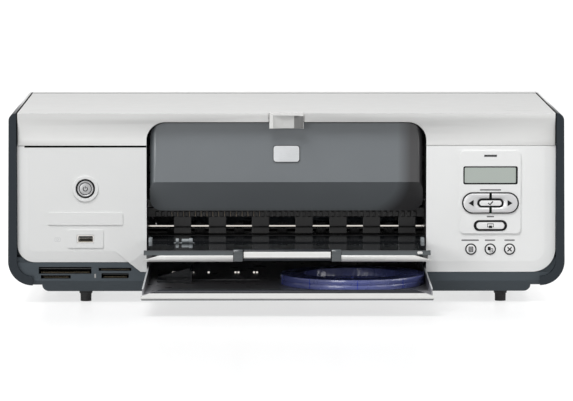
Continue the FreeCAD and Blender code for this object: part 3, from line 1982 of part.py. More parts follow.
def build():
    """Make every sub-part."""
    node("base_pan", base_pan())
    node("feet", feet())
    node("side_cover_left", side_cover(LEFT))
    node("side_cover_right", side_cover(RIGHT))
    node("front_panel_left", left_panel())
    node("front_panel_right", right_panel())
    node("fascia_left", fascia(LEFT))
    node("fascia_right", fascia(RIGHT))
    node("card_reader", card_reader())
    node("top_cover", top_cover())
    node("rear_housing", rear_housing())
    node("rear_door", rear_door())
    node("rear_sockets", group(socket_shell("inlet"), socket_shell("data")))
    node("disc_door", disc_door())
    node("door_grip", door_grip())
    node("door_badge", door_badge())
    node("main_tray", main_tray())
    node("main_tray_lip", tray_lip())
    node("width_guide", width_guide())
    node("disc_carrier", disc_carrier())
    node("output_tray", output_tray())
    node("output_tray_lip", output_lip())
    node("tray_extender", tray_extender())
    node("catch_flap", catch_flap())
    node("frame_plate_left", frame_plate(LEFT))
    node("frame_plate_right", frame_plate(RIGHT))
    node("exit_guard", exit_guard())
    node("platen", platen())
    node("output_roller", output_roller())
    node("feed_roller", feed_roller())
    node("print_chassis", print_chassis())
    left, right = chassis_left, chassis_right
    node("carriage_rod", drum("x", rod_line(), (left, right), size.rod_radius))
    node("carriage", join(carriage(), *carriage_ears()))
    for number, ink in enumerate(("black", "colour")):
        node(f"cartridge_{ink}", cartridge(number))
        node(f"latch_{ink}", latch(number))
    node("drive_belts", group(carriage_belt(), roller_belt()))
    node("idler_pulley", pulley(pulley_places()[0]))
    node("motor_pulley", pulley(pulley_places()[1]))
    node("carriage_motor", carriage_motor())
    node("encoder_strip", encoder_strip())
    node("service_station", service_station())
    node("main_board", main_board())
    node("feed_motor", feed_motor())
    node("control_plate", control_plate())
    node("display_window", group(display_window(), status_light()))
    node("key_back", rocker_key(LEFT))
    node("key_forward", rocker_key(RIGHT))
    node("key_enter", enter_key())
    node("key_print", print_key())
    for number, name in enumerate(("index", "layout", "cancel")):
        node(f"key_{name}", round_key(number))
    node("key_rings", group(print_ring(), *round_rings()))
    node("key_boards", group(control_board(), power_board()))
    node("power_bezel", power_bezel())
    node("power_button", power_button())
    node("panel_trim", group(name_plate(), socket_pad()))
    node("front_socket", group(socket_sleeve(), socket_tongue()))


def check_and_write():
    """Stop on any failed object or bad shape, then write each sub-part."""
    doc.recompute()
    for thing in doc.Objects:
        bad = [word for word in thing.State if word in ("Invalid", "Error")]
        if bad:
            raise RuntimeError(f"{thing.Name} ({thing.Label}) is {bad}")
    for solid in nodes:
        if solid.Shape.isNull() or not solid.Shape.isValid() or not solid.Shape.Solids:
            raise RuntimeError(f"{solid.Label} has no valid solid")
    os.makedirs("parts", exist_ok=True)
    for solid in nodes:
        solid.Shape.exportStep(f"parts/{solid.Label}.step")
        box = solid.Shape.BoundBox
        print(f"{solid.Label:20s} {len(solid.Shape.Solids)} solids {solid.Shape.Volume / 1000:9.2f} cm3"
              f"  x {box.XMin:.1f} {box.XMax:.1f}  y {box.YMin:.1f} {box.YMax:.1f}"
              f"  z {box.ZMin:.1f} {box.ZMax:.1f}")
    print(len(nodes), "nodes")


build()
check_and_write()
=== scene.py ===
"""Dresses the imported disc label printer: surface finishes, fine detail, camera and light."""

import math
from contextlib import contextmanager

import bmesh
import bpy
from mathutils import Matrix, Vector


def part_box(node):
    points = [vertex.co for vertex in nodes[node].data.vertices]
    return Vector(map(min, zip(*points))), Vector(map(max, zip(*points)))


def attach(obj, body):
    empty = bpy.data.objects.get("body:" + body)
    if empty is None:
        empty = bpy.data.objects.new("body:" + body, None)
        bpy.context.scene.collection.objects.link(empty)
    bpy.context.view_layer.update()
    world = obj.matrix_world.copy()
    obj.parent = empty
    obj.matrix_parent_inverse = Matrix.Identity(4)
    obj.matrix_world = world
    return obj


MM = 0.001

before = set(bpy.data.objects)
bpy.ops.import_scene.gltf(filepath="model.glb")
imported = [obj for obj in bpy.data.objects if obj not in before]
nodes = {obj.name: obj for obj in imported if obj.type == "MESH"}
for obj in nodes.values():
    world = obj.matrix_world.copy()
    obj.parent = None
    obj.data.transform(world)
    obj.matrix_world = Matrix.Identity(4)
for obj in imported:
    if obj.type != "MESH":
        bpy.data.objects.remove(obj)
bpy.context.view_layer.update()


# ---- materials

# between these two lies most of what a noise texture gives
NOISE_SPAN = (0.3, 0.7)


def fill(node, values):
    """Gives a node its values: a name with a capital is a socket's, any other a setting's."""
    for name, value in values.items():
        if name[0].isupper():
            node.inputs[name.replace("_", " ")].default_value = value
        else:
            setattr(node, name, value)


def shade(tint, factor):
    """A lighter or darker tint."""
    return tuple(min(1.0, part * factor) for part in tint)


class Finish:
    """A node material grown around one Principled shader, in object coordinates."""

    def __init__(self, name, **sockets):
        self.material = bpy.data.materials.new(name)
        self.material.use_nodes = True
        self.tree = self.material.node_tree
        self.shader = self.tree.nodes["Principled BSDF"]
        self.place = self.add("ShaderNodeTexCoord").outputs["Object"]
        fill(self.shader, sockets)

    def add(self, kind, **values):
        node = self.tree.nodes.new(kind)
        fill(node, values)
        return node

    def link(self, output, target):
        self.tree.links.new(output, target)

    def mapped(self, **values):
        """The place on the object, stretched or turned."""
        mapping = self.add("ShaderNodeMapping", **values)
        self.link(self.place, mapping.inputs["Vector"])
        return mapping.outputs["Vector"]

    def noise(self, scale, detail=3.0, stretch=(1, 1, 1)):
        node = self.add("ShaderNodeTexNoise", Scale=scale, Detail=detail)
        self.link(self.mapped(Scale=stretch), node.inputs["Vector"])
        return node.outputs["Fac"]

    def spread(self, value, low, high, span=NOISE_SPAN):
        """Stretches a span of values over the range from low to high."""
        node = self.add("ShaderNodeMapRange", From_Min=span[0], From_Max=span[1], To_Min=low, To_Max=high)
        self.link(value, node.inputs["Value"])
        return node.outputs["Result"]

    def ramp(self, value, first, second):
        """A colour that goes from the first to the second as a noise value rises."""
        node = self.add("ShaderNodeValToRGB")
        node.color_ramp.interpolation = "EASE"
        for stop, position, tint in zip(node.color_ramp.elements, NOISE_SPAN, (first, second)):
            stop.position = position
            stop.color = (*tint, 1)
        self.link(value, node.inputs["Fac"])
        return node.outputs["Color"]

    def uneven(self, value, tint, drift):
        """A colour that strays from its tint by a small share of it."""
        return self.ramp(value, shade(tint, 1 - drift), shade(tint, 1 + drift))

    def blend(self, share, first, second):
        """A colour that goes from one to the other as the share goes from 0 to 1."""
        mix = self.add("ShaderNodeMix", data_type="RGBA")
        self.link(share, mix.inputs["Factor"])
        self.link(first, mix.inputs["A"])
        self.link(second, mix.inputs["B"])
        return mix.outputs["Result"]

    def past(self, corner, ways, fade):
        """0 before a corner and 1 past it, along the axes whose way is 1 or -1.

        The fade gives the two distances past the corner where the change starts and ends. The
        corner and the fade are in millimetres.
        """
        point = self.place
        steps = (("SUBTRACT", [part * MM for part in corner]), ("MULTIPLY", ways), ("MAXIMUM", (0, 0, 0)))
        for operation, value in steps:
            node = self.add("ShaderNodeVectorMath", operation=operation)
            node.inputs[1].default_value = value
            self.link(point, node.inputs[0])
            point = node.outputs["Vector"]
        length = self.add("ShaderNodeVectorMath", operation="LENGTH")
        self.link(point, length.inputs[0])
        return self.spread(length.outputs["Value"], 0, 1, [distance * MM for distance in fade])

    def paint(self, colour):
        self.link(colour, self.shader.inputs["Base Color"])

    def roughness(self, value, low, high):
        self.link(self.spread(value, low, high), self.shader.inputs["Roughness"])

    def bump(self, value, depth, under=None):
        """Unevenness of a depth in millimetres, over another bump if one is given."""
        node = self.add("ShaderNodeBump", Distance=depth * MM)
        self.link(value, node.inputs["Height"])
        if under:
            self.link(under.outputs["Normal"], node.inputs["Normal"])
        self.link(node.outputs["Normal"], self.shader.inputs["Normal"])
        return node


def moulded(name, tint, rough, drift=0.03, grain=0.02, grain_size=0.6, **sockets):
    """Moulded plastic: a little unevenness of tone and gloss over a fine spark-eroded grain."""
    finish = Finish(name, **sockets)
    finish.paint(finish.uneven(finish.noise(14, detail=4), tint, drift))
    finish.roughness(finish.noise(90), rough * 0.88, rough * 1.14)
    swell = finish.bump(finish.noise(9, detail=1), 0.05)
    finish.bump(finish.noise(1 / (grain_size * MM), detail=2), grain, under=swell)
    return finish.material


def cool_shell(name, tint, rough=0.4, drift=0.05):
    """Dark shell plastic with a cool sheen."""
    return moulded(name, tint, rough, drift, grain=0.03, Specular_IOR_Level=0.4, Specular_Tint=COOL)


def metal(name, tint, rough, streak=(1, 60, 60), depth=0.01, drift=0.06):
    """Metal with fine drawing lines along one direction."""
    finish = Finish(name, Metallic=1.0)
    lines = finish.noise(120, detail=5, stretch=streak)
    finish.paint(finish.uneven(lines, tint, drift))
    finish.roughness(lines, rough * 0.8, rough * 1.3)
    finish.bump(lines, depth)
    return finish.material


def circuit_board(name):
    """Green solder mask with faint tracks that run in two directions."""
    finish = Finish(name, Coat_Weight=0.4, Coat_Roughness=0.2)
    bricks = finish.add(
        "ShaderNodeTexBrick", Scale=260, Mortar_Size=0.06,
        Color1=(0.012, 0.09, 0.035, 1), Color2=(0.016, 0.11, 0.045, 1), Mortar=(0.03, 0.2, 0.08, 1),
    )
    finish.link(finish.mapped(Scale=(1, 1, 1.7)), bricks.inputs["Vector"])
    finish.paint(bricks.outputs["Color"])
    finish.roughness(finish.noise(200), 0.35, 0.5)
    finish.bump(bricks.outputs["Fac"], 0.03)
    return finish.material


def liquid_crystal(name):
    """A blank reflective display: grey-green with a faint grid of picture cells."""
    finish = Finish(name, Coat_Weight=0.35, Coat_Roughness=0.12)
    grid = finish.add(
        "ShaderNodeTexBrick", offset=0.0, Scale=900, Mortar_Size=0.05, Brick_Width=0.5, Row_Height=0.5,
        Color1=(0.38, 0.42, 0.385, 1), Color2=(0.385, 0.425, 0.39, 1), Mortar=(0.42, 0.46, 0.43, 1),
    )
    finish.link(finish.mapped(Rotation=(math.pi / 2, 0, 0)), grid.inputs["Vector"])
    finish.paint(grid.outputs["Color"])
    finish.roughness(finish.noise(50), 0.3, 0.4)
    return finish.material


def clear_blue(name, pale, deep):
    """Tinted clear plastic, a little cloudy, with flow lines round the ring."""
    finish = Finish(name, Transmission_Weight=0.25, IOR=1.49, Coat_Weight=0.6, Coat_Roughness=0.1)
    finish.paint(finish.ramp(finish.noise(25), pale, deep))
    finish.roughness(finish.noise(60), 0.2, 0.3)
    finish.bump(finish.noise(40, stretch=(0.3, 0.3, 12)), 0.02)
    return finish.material


def glossy_tray(name, deck, rim):
    """Polished dark plastic, a little paler in front of the place where its rim starts."""
    rim_start, rim_fade = -166, (0, 3)
    finish = Finish(name, Coat_Weight=0.3, Coat_Roughness=0.04)
    cloud = finish.noise(14, detail=4)
    share = finish.past((0, rim_start, 0), (0, -1, 0), rim_fade)
    finish.paint(finish.blend(share, finish.uneven(cloud, deck, 0.06), finish.uneven(cloud, rim, 0.06)))
    finish.roughness(finish.noise(90), 0.035, 0.055)
    finish.bump(finish.noise(9, detail=1), 0.01)
    return finish.material


def lip_with_painted_shade(name, pale, dark, bands):
    """Pale plastic with dark bands of painted shade, each between two heights in millimetres."""
    finish = Finish(name, Specular_IOR_Level=0.15)
    cloud = finish.noise(14, detail=4)
    colour = finish.ramp(cloud, shade(pale, 0.99), pale)
    painted = finish.uneven(cloud, dark, 0.06)
    for band in bands:
        within = finish.add("ShaderNodeMath", operation="SUBTRACT")
        for height, term in zip(band, within.inputs):
            finish.link(finish.past((0, 0, height), (0, 0, 1), (0, 0.05)), term)
        colour = finish.blend(within.outputs["Value"], colour, painted)
    finish.paint(colour)
    finish.roughness(finish.noise(90), 0.23, 0.27)
    finish.bump(finish.noise(1500), 0.004)
    return finish.material


def smoked(name):
    """The door's dark translucent plastic: its grey is partly its own and partly a painted reflection, and
    its right end and foot are painted darker for shade.
    """
    shade_corner, shade_fade = (66, 0, 104), (26, 37)
    finish = Finish(name, Coat_Weight=0.3, Coat_Roughness=0.14)
    cloud = finish.noise(12, detail=4)
    reflection_tone = finish.ramp(cloud, (0.138, 0.152, 0.163), (0.147, 0.162, 0.173))
    shade_tone = finish.ramp(cloud, (0.036, 0.035, 0.037), (0.042, 0.041, 0.043))
    # painted shade on the door's right end and foot, past the corner to the right and below it
    finish.paint(finish.blend(finish.past(shade_corner, (1, 0, -1), shade_fade), reflection_tone, shade_tone))
    finish.roughness(finish.noise(70), 0.3, 0.36)
    finish.bump(finish.noise(1500), 0.006)
    return finish.material


COOL = (0.8, 0.9, 1, 1)
LIP_SHADE = (0.02, 0.022, 0.027)
ALONG_X = (1, 40, 40)
EVEN = (3, 3, 3)

WHITE = moulded("white_shell", (0.745, 0.745, 0.735), 0.4, drift=0.01, grain=0.01)
PANEL_WHITE = moulded("white_panel", (0.7, 0.705, 0.7), 0.36, drift=0.01, grain=0.008)
# the same white as the left panel, painted lighter on the right panel and its plate for the light that falls
# there
LIT_PANEL_WHITE = moulded("white_panel_painted_light", (0.8, 0.805, 0.8), 0.36, drift=0.01, grain=0.008)
LIP_WHITE = moulded("white_lip", (0.7, 0.7, 0.685), 0.25, drift=0.01, grain=0.004, Coat_Weight=0.3)
# painted shade along the top of the main tray's lip, and in bands at the top and foot of the catch flap
TRAY_LIP = lip_with_painted_shade("tray_lip_painted_shade", (0.7, 0.7, 0.685), LIP_SHADE, [(19.3, 22)])
FLAP = lip_with_painted_shade("flap_painted_shade", (0.8, 0.8, 0.785), LIP_SHADE, [(42, 45.4), (50.7, 54)])
PALE_EDGE = moulded("pale_edge", (0.5, 0.52, 0.53), 0.3, drift=0.02, grain=0.004)
GLOSS_DARK = moulded(
    "gloss_side", (0.01, 0.013, 0.016), 0.045, drift=0.05, grain=0.0005,
    Specular_IOR_Level=0.34, Specular_Tint=COOL,
)
DARK = cool_shell("dark_shell", (0.028, 0.035, 0.042))
FASCIA = cool_shell("dark_fascia", (0.042, 0.051, 0.058))
BELLY = cool_shell("dark_belly", (0.038, 0.047, 0.053), 0.42, 0.06)
RING_BLACK = moulded(
    "ring_black", (0.006, 0.006, 0.007), 0.45, drift=0.1, grain=0.01, Specular_IOR_Level=0.16
)
BLACK = moulded("black_moulding", (0.013, 0.013, 0.014), 0.42, drift=0.1)
SATIN_BLACK = moulded("satin_black", (0.012, 0.0115, 0.012), 0.34, drift=0.1, grain=0.01)
TRAY = moulded("tray_moulding", (0.25, 0.25, 0.265), 0.3, drift=0.05, grain=0.004)
GLOSS_BLACK = glossy_tray("gloss_tray", (0.022, 0.024, 0.027), (0.05, 0.06, 0.065))
SMOKE_GREY = moulded(
    "smoked_clear", (0.06, 0.065, 0.075), 0.22, drift=0.05, grain=0.002, Transmission_Weight=0.6
)
GREY = moulded("grey_moulding", (0.22, 0.24, 0.25), 0.42, drift=0.04)
SMOKED = smoked("smoked_door")
SILVER = moulded("silver_key", (0.58, 0.58, 0.585), 0.34, drift=0.01, grain=0.001, Metallic=0.4)
SILVER_DULL = moulded("dull_silver", (0.4, 0.4, 0.405), 0.34, drift=0.01, grain=0.001, Metallic=0.4)
SILVER_WHITE = moulded("pale_key", (0.8, 0.8, 0.8), 0.3, drift=0.01, grain=0.002)
BADGE = metal("badge_metal", (0.52, 0.53, 0.54), 0.4, streak=(3, 60, 60), depth=0.004)
STEEL = metal("drawn_steel", (0.74, 0.72, 0.69), 0.07, streak=ALONG_X, depth=0.001)
GUNMETAL = metal("dark_shaft", (0.07, 0.07, 0.07), 0.3, streak=ALONG_X, depth=0.001)
STRIP = metal("bright_strip", (0.96, 0.91, 0.84), 0.06, streak=ALONG_X, depth=0.0005, drift=0.03)
SHEET = metal("galvanised_sheet", (0.6, 0.61, 0.6), 0.42, streak=EVEN, depth=0.03)
SCREW = metal("dark_screw", (0.22, 0.22, 0.22), 0.4, streak=EVEN)
BRASS = metal("gold_contact", (0.62, 0.5, 0.3), 0.3, streak=(20, 20, 1))
# brass painted darker for the shade inside the front socket and the card slots
SHADED_BRASS = metal("contact_painted_shade", (0.12, 0.1, 0.07), 0.4, streak=(20, 20, 1))
RUBBER = moulded("rubber", (0.02, 0.02, 0.021), 0.78, drift=0.12, grain=0.08, grain_size=0.35)
BELT = moulded("toothed_belt", (0.02, 0.02, 0.021), 0.7, drift=0.1, grain=0.1)
# a dead black for painted shade in joints and gaps, and on the ledge before the exit strip
SHADE_BLACK = moulded("painted_shade_black", (0.004, 0.004, 0.004), 0.9, drift=0.1, Specular_IOR_Level=0.0)
BOARD = circuit_board("circuit_board")
CLEAR_BLUE = clear_blue("clear_blue", (0.11, 0.135, 0.37), (0.14, 0.165, 0.45))
RIB_BLUE = clear_blue("rib_blue", (0.02, 0.04, 0.42), (0.03, 0.06, 0.5))
DISPLAY = liquid_crystal("display_cells")
LENS = moulded("dark_lens", (0.012, 0.013, 0.014), 0.12, drift=0.1, grain=0.001, Coat_Weight=0.5)
LENS_CLEAR = moulded(
    "clear_lens", (0.6, 0.6, 0.58), 0.15, drift=0.05, grain=0.001, Transmission_Weight=0.4
)
FILM = moulded("encoder_film", (0.62, 0.64, 0.66), 0.2, drift=0.04, Transmission_Weight=0.7)
LABEL = moulded("blank_label", (0.66, 0.66, 0.64), 0.45, grain=0.01)
# grey for painted shade in the grip's hollow and along the catch flap's fold line
SHADE_GREY = moulded("painted_shade_grey", (0.13, 0.13, 0.128), 0.4, drift=0.04)
# a painted highlight for the lit edges of the comb teeth
COMB_HIGHLIGHT = moulded("comb_painted_highlight", (0.42, 0.33, 0.24), 0.4, drift=0.04)
INK = moulded("grey_ink", (0.13, 0.13, 0.135), 0.5, drift=0.05)
PALE_INK = moulded("pale_ink", (0.52, 0.53, 0.54), 0.5, drift=0.04)
DARK_INK = moulded("dark_ink", (0.008, 0.008, 0.009), 0.5, drift=0.05, Specular_IOR_Level=0.15)
INK_CYAN = moulded("cyan_mark", (0.03, 0.32, 0.5), 0.4)
INK_MAGENTA = moulded("magenta_mark", (0.5, 0.04, 0.2), 0.4)
INK_YELLOW = moulded("yellow_mark", (0.75, 0.55, 0.05), 0.4)

CAD_FINISHES = {
    WHITE: "top_cover",
    PANEL_WHITE: "front_panel_left panel_trim power_bezel",
    LIT_PANEL_WHITE: "front_panel_right control_plate",
    LIP_WHITE: "output_tray_lip door_grip",
    TRAY_LIP: "main_tray_lip",
    FLAP: "catch_flap",
    GLOSS_DARK: "side_cover_left side_cover_right",
    DARK: "rear_housing rear_door",
    FASCIA: "fascia_left fascia_right",
    BELLY: "base_pan",
    BLACK: """frame_plate_left frame_plate_right platen card_reader rear_sockets carriage
              service_station cartridge_black cartridge_colour""",
    RING_BLACK: "display_window key_rings key_enter key_back key_forward power_button",
    SATIN_BLACK: "exit_guard",
    TRAY: "main_tray",
    GLOSS_BLACK: "output_tray tray_extender",
    SMOKE_GREY: "width_guide",
    GREY: "latch_black latch_colour",
    SMOKED: "disc_door",
    SILVER_WHITE: "key_print key_index key_layout key_cancel",
    BADGE: "door_badge",
    STEEL: "carriage_rod front_socket",
    GUNMETAL: "output_roller feed_roller",
    SHEET: "print_chassis carriage_motor feed_motor",
    BRASS: "idler_pulley motor_pulley",
    RUBBER: "feet",
    BOARD: "main_board key_boards",
    CLEAR_BLUE: "disc_carrier",
    FILM: "encoder_strip",
    BELT: "drive_belts",
}

# how far the moulded edges of each node are rounded, in millimetres
CAD_EDGES = {
    1.5: "side_cover_left side_cover_right",
    1.0: "top_cover",
    0.5: "fascia_left fascia_right rear_housing base_pan",
    0.4: "control_plate panel_trim power_bezel door_grip width_guide exit_guard",
    0.3: "disc_door output_tray tray_extender rear_door main_tray catch_flap carriage",
    0.2: """key_rings door_badge cartridge_black cartridge_colour latch_black latch_colour disc_carrier
            print_chassis main_tray_lip output_tray_lip""",
}

# the slot that goes with each finish, which piece() looks up unless a piece names another
SLOTS = {finish: slot for slot, finishes in {
    "black_plastic": (BLACK, DARK_INK, INK),
    "silver_plastic": (SILVER, SILVER_DULL, SILVER_WHITE, LABEL),
    "grey_plastic": (GREY, SHADE_GREY, PALE_INK),
    "white_plastic": (WHITE, LIP_WHITE, PALE_EDGE),
    "gloss_black": (LENS, RING_BLACK),
    "dark_plastic": (DARK,),
    "blue_clear": (RIB_BLUE,),
    "clear_film": (LENS_CLEAR,),
    "display": (DISPLAY,),
    "badge_metal": (BADGE,),
    "rubber": (SHADE_BLACK, RUBBER),
    "steel": (SCREW, SHEET, STRIP),
    "brass": (BRASS, SHADED_BRASS, COMB_HIGHLIGHT),
}.items() for finish in finishes}


def soften(thing, width):
    """Rounds the sharp edges of a piece or a CAD node."""
    weld = thing.modifiers.new("weld", "WELD")
    weld.merge_threshold = 0.005 * MM
    bevel = thing.modifiers.new("edge", "BEVEL")
    bevel.width = width * MM
    bevel.segments = 2
    bevel.limit_method = "ANGLE"
    bevel.angle_limit = math.radians(38)
    bevel.harden_normals = True


def dress_cad():
    """Every CAD node takes its finish and a soft moulded edge."""
    for finish, names in CAD_FINISHES.items():
        for name in names.split():
            for slot in nodes[name].material_slots:
                slot.material = finish
    for width, names in CAD_EDGES.items():
        for name in names.split():
            soften(nodes[name], width)


dress_cad()


# ---- mesh helpers, in millimetres

class Limits:
    """The corners, the middle and the middle of the front of a CAD node at rest, in millimetres."""

    def __init__(self, node):
        low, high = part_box(node)
        self.low, self.high = low / MM, high / MM
        self.middle = (self.low + self.high) / 2
        self.front = (self.middle.x, self.low.y, self.middle.z)


def about(middle, half):
    """The two ends of a span, given by its middle and half its length."""
    return middle - half, middle + half


def row(count, pitch, middle=0.0):
    """The middles of things that stand evenly in a row."""
    return [middle + (number - (count - 1) / 2) * pitch for number in range(count)]


def around(centre, radius, degrees):
    """The point of a circle at an angle."""
    angle = math.radians(degrees)
    return centre[0] + radius * math.cos(angle), centre[1] + radius * math.sin(angle)


def rounded(width, height, radius, centre=(0, 0), steps=8):
    """The outline of a rectangle with rounded corners, as (u, v) pairs."""
    points = []
    for turn, (side, rise) in enumerate(((1, 1), (-1, 1), (-1, -1), (1, -1))):
        for step in range(steps + 1):
            middle = (centre[0] + side * (width / 2 - radius), centre[1] + rise * (height / 2 - radius))
            points.append(around(middle, radius, 90 * (turn + step / steps)))
    return points


def stadium(width, height, centre=(0, 0), steps=10):
    """The outline of a bar with half-round ends. A hair of straight edge keeps its points apart."""
    return rounded(width, height, height / 2 - 0.01, centre, steps)


def arc(centre, radius, start, end, steps=20):
    """Points of an arc, its angles in degrees."""
    return [around(centre, radius, start + (end - start) * step / steps) for step in range(steps + 1)]


def scaled(outline, centre, scale):
    """An outline made larger or smaller about a centre."""
    return [(centre[0] + (u - centre[0]) * scale, centre[1] + (v - centre[1]) * scale) for u, v in outline]


def add_ring(mesh, axis, along, outline):
    """The points of an outline at a place along an axis, its (u, v) pairs in x, y, z order."""
    ring = []
    for pair in outline:
        spot = list(pair)
        spot.insert("xyz".index(axis), along)
        ring.append(mesh.verts.new(spot))
    return ring


def bridge(mesh, near, far):
    """Joins two rings of as many points each with four-sided faces."""
    for i in range(len(near)):
        j = (i + 1) % len(near)
        mesh.faces.new((near[i], far[i], far[j], near[j]))


def skin(mesh, rings, closed=False):
    """Joins rings in a row, which closes on itself or ends in two flat faces."""
    pairs = list(zip(rings, rings[1:]))
    if closed:
        pairs.append((rings[-1], rings[0]))
    else:
        mesh.faces.new(rings[0])
        mesh.faces.new(rings[-1][::-1])
    for near, far in pairs:
        bridge(mesh, near, far)


def add_prism(mesh, axis, outline, start, end):
    """An outline of (u, v) pairs pushed along an axis."""
    skin(mesh, [add_ring(mesh, axis, along, outline) for along in (start, end)])


def add_block(mesh, x, y, z):
    """A box between two places along each axis."""
    add_prism(mesh, "z", [(x[0], y[0]), (x[1], y[0]), (x[1], y[1]), (x[0], y[1])], *z)


def add_bar(mesh, start, end, width, height):
    """A straight bar of rectangular section between two points, its height upwards."""
    start, end = Vector(start), Vector(end)
    side = (end - start).cross(Vector((0, 0, 1))).normalized() * width / 2
    lift = Vector((0, 0, height))
    rings = []
    for point in (start, end):
        corners = (point - side, point + side, point + side + lift, point - side + lift)
        rings.append([mesh.verts.new(corner) for corner in corners])
    skin(mesh, rings)


def add_lathe(mesh, axis, centre, base, profile, sides=40):
    """A turned shape: profile holds (distance from the base along the axis, radius) pairs."""
    rings = []
    for along, radius in profile:
        circle = arc(centre, radius, 0, 360, sides)[:-1] if radius else [centre]
        rings.append(add_ring(mesh, axis, base + along, circle))
    for near, far in zip(rings, rings[1:]):
        for i in range(sides):
            j = (i + 1) % sides
            corners = [near[i % len(near)], far[i % len(far)], far[j % len(far)], near[j % len(near)]]
            mesh.faces.new(list(dict.fromkeys(corners)))
    for ring in (rings[0], rings[-1]):
        if len(ring) > 1:
            mesh.faces.new(ring)


def add_cap(mesh, outline, centre, base, rise, skirt):
    """A cap over an (x, z) outline: a dome that rises from the base, and a skirt behind it."""
    steps = 7
    rings = [add_ring(mesh, "y", base + skirt, outline)]
    for step in range(steps):
        share = step / steps
        depth = base - rise * math.sin(share * math.pi / 2)
        rings.append(add_ring(mesh, "y", depth, scaled(outline, centre, 1 - share)))
    for near, far in zip(rings, rings[1:]):
        bridge(mesh, near, far)
    last = rings[-1]
    tip = add_ring(mesh, "y", base - rise, [centre])[0]
    for i in range(len(last)):
        mesh.faces.new((last[i], tip, last[(i + 1) % len(last)]))
    mesh.faces.new(rings[0])


def add_stroke(mesh, points, width, depth, closed=False):
    """A flat line of constant width through (x, z) points, between two depths."""
    count = len(points)
    rings = []
    for i, point in enumerate(points):
        before = points[i - 1] if i or closed else point
        after = points[(i + 1) % count] if i + 1 < count or closed else point
        along = Vector((after[0] - before[0], after[1] - before[1])).normalized()
        across = Vector((-along.y, along.x)) * width / 2
        left, right = Vector(point) + across, Vector(point) - across
        corners = ((left, depth[0]), (right, depth[0]), (right, depth[1]), (left, depth[1]))
        rings.append([mesh.verts.new((corner.x, y, corner.y)) for corner, y in corners])
    skin(mesh, rings, closed)


def show(name, data):
    """Puts a mesh, a lamp or a camera into the scene."""
    thing = bpy.data.objects.new(name, data)
    bpy.context.scene.collection.objects.link(thing)
    return thing


def show_mesh(name, mesh, finish):
    """Puts a shaped mesh into the scene."""
    data = bpy.data.meshes.new(name)
    mesh.to_mesh(data)
    mesh.free()
    data.materials.append(finish)
    return show(name, data)


@contextmanager
def piece(name, finish, body="body", slot=None, edge=0.0):
    """Gives a mesh to shape in millimetres, and then makes it a piece that rides on a body."""
    slot = slot or SLOTS[finish]
    mesh = bmesh.new()
    yield mesh
    bmesh.ops.recalc_face_normals(mesh, faces=mesh.faces)
    bmesh.ops.transform(mesh, matrix=Matrix.Scale(MM, 4), verts=mesh.verts)
    thing = show_mesh(name, mesh, finish)
    for face in thing.data.polygons:
        face.use_smooth = True
    thing.data.set_sharp_from_angle(angle=math.radians(32))
    if edge:
        soften(thing, edge)
    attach(thing, body)


def printed(surface):
    """The depths of a printed mark: it stands a little before its surface and reaches behind it."""
    return surface - 0.05, surface + 0.1


# half the width of the opening between the front panels
opening = Limits("exit_guard").high.x
# the front of the right panel, and the raised plate that the keys stand round
panel_face = Limits("front_panel_right").low.y
plate = Limits("control_plate")
control_x = plate.middle.x


# ---- control panel

def make_display():
    """The display's grey cells on its dark module, and the lens of the status light."""
    front = plate.low.y
    pane = front + 0.5
    cells, light = (control_x - 0.2, 106.1), (control_x, 122.2)
    with piece("display_cells", DISPLAY, edge=0.06) as mesh:
        add_prism(mesh, "y", rounded(42.2, 12.7, 0.8, cells), pane - 0.12, pane + 0.3)
    with piece("status_lens", LENS) as mesh:
        add_prism(mesh, "y", stadium(10.2, 1.7, light), front + 0.12, front + 0.6)


# shift from the middle of the controls, height and width of each bar, and the surface it is on
CAPTIONS = (
    (0, 94.0, 17.5, plate.low.y),
    (0, 71.9, 6, plate.low.y),
    (-16.6, 52.2, 14.5, panel_face),
    (-0.2, 52.2, 8.6, panel_face),
    (16, 52.2, 8.6, panel_face),
)


def make_captions():
    """Plain bars where a printed caption stands over a key."""
    with piece("caption_bars", INK) as mesh:
        for shift, height, width, surface in CAPTIONS:
            outline = stadium(width, 1.15, (control_x + shift, height), steps=5)
            add_prism(mesh, "y", outline, *printed(surface))


def half_loop(side, width, height):
    """Half of a stadium outline from its upper to its lower middle, round the end on one side."""
    gap, steps = 1.05, 14
    radius = height / 2
    straight = width / 2 - radius
    points = [(side * gap, radius), (side * (gap + straight) / 2, radius)]
    for step in range(steps + 1):
        u, v = around((straight, 0), radius, 90 - 180 * step / steps)
        points.append((side * u, v))
    points += [(side * (gap + straight) / 2, -radius), (side * gap, -radius)]
    return points


def add_rocker_half(mesh, side, surface, level):
    """A silver half of the rocker, crowned between its outer and inner edges, with a wall behind them."""
    outer, inner = half_loop(side, 44.7, 15.6), half_loop(side, 22.0, 7.3)
    crown, steps = 1.1, 8
    rows = []
    for step in range(steps + 1):
        share = step / steps
        depth = surface - crown * math.sin(math.pi * (0.12 + 0.88 * share)) ** 0.8
        line = []
        for (u1, v1), (u2, v2) in zip(outer, inner):
            line.append((control_x + u1 + (u2 - u1) * share, level + v1 + (v2 - v1) * share))
        rows.append(add_ring(mesh, "y", depth, line))
    for near, far in zip(rows, rows[1:]):
        for i in range(len(near) - 1):
            mesh.faces.new((near[i], far[i], far[i + 1], near[i + 1]))
    bmesh.ops.recalc_face_normals(mesh, faces=mesh.faces)
    rim = [edge for edge in mesh.edges if edge.is_boundary]
    for part in bmesh.ops.extrude_edge_only(mesh, edges=rim)["geom"]:
        if isinstance(part, bmesh.types.BMVert):
            part.co.y = surface + 0.3


def make_rocker():
    """The two silver halves of the wide rocker, each with an arrow."""
    for side, name in ((-1, "key_back"), (1, "key_forward")):
        _, surface, level = Limits(name).front
        with piece(f"{name}_cap", SILVER, name) as mesh:
            add_rocker_half(mesh, side, surface, level)
        tip, root, half = control_x + side * 18.2, control_x + side * 14, 2.6
        with piece(f"{name}_arrow", DARK_INK, name) as mesh:
            outline = [(tip, level), (root, level + half), (root, level - half)]
            add_prism(mesh, "y", outline, surface - 1.18, surface - 0.5)


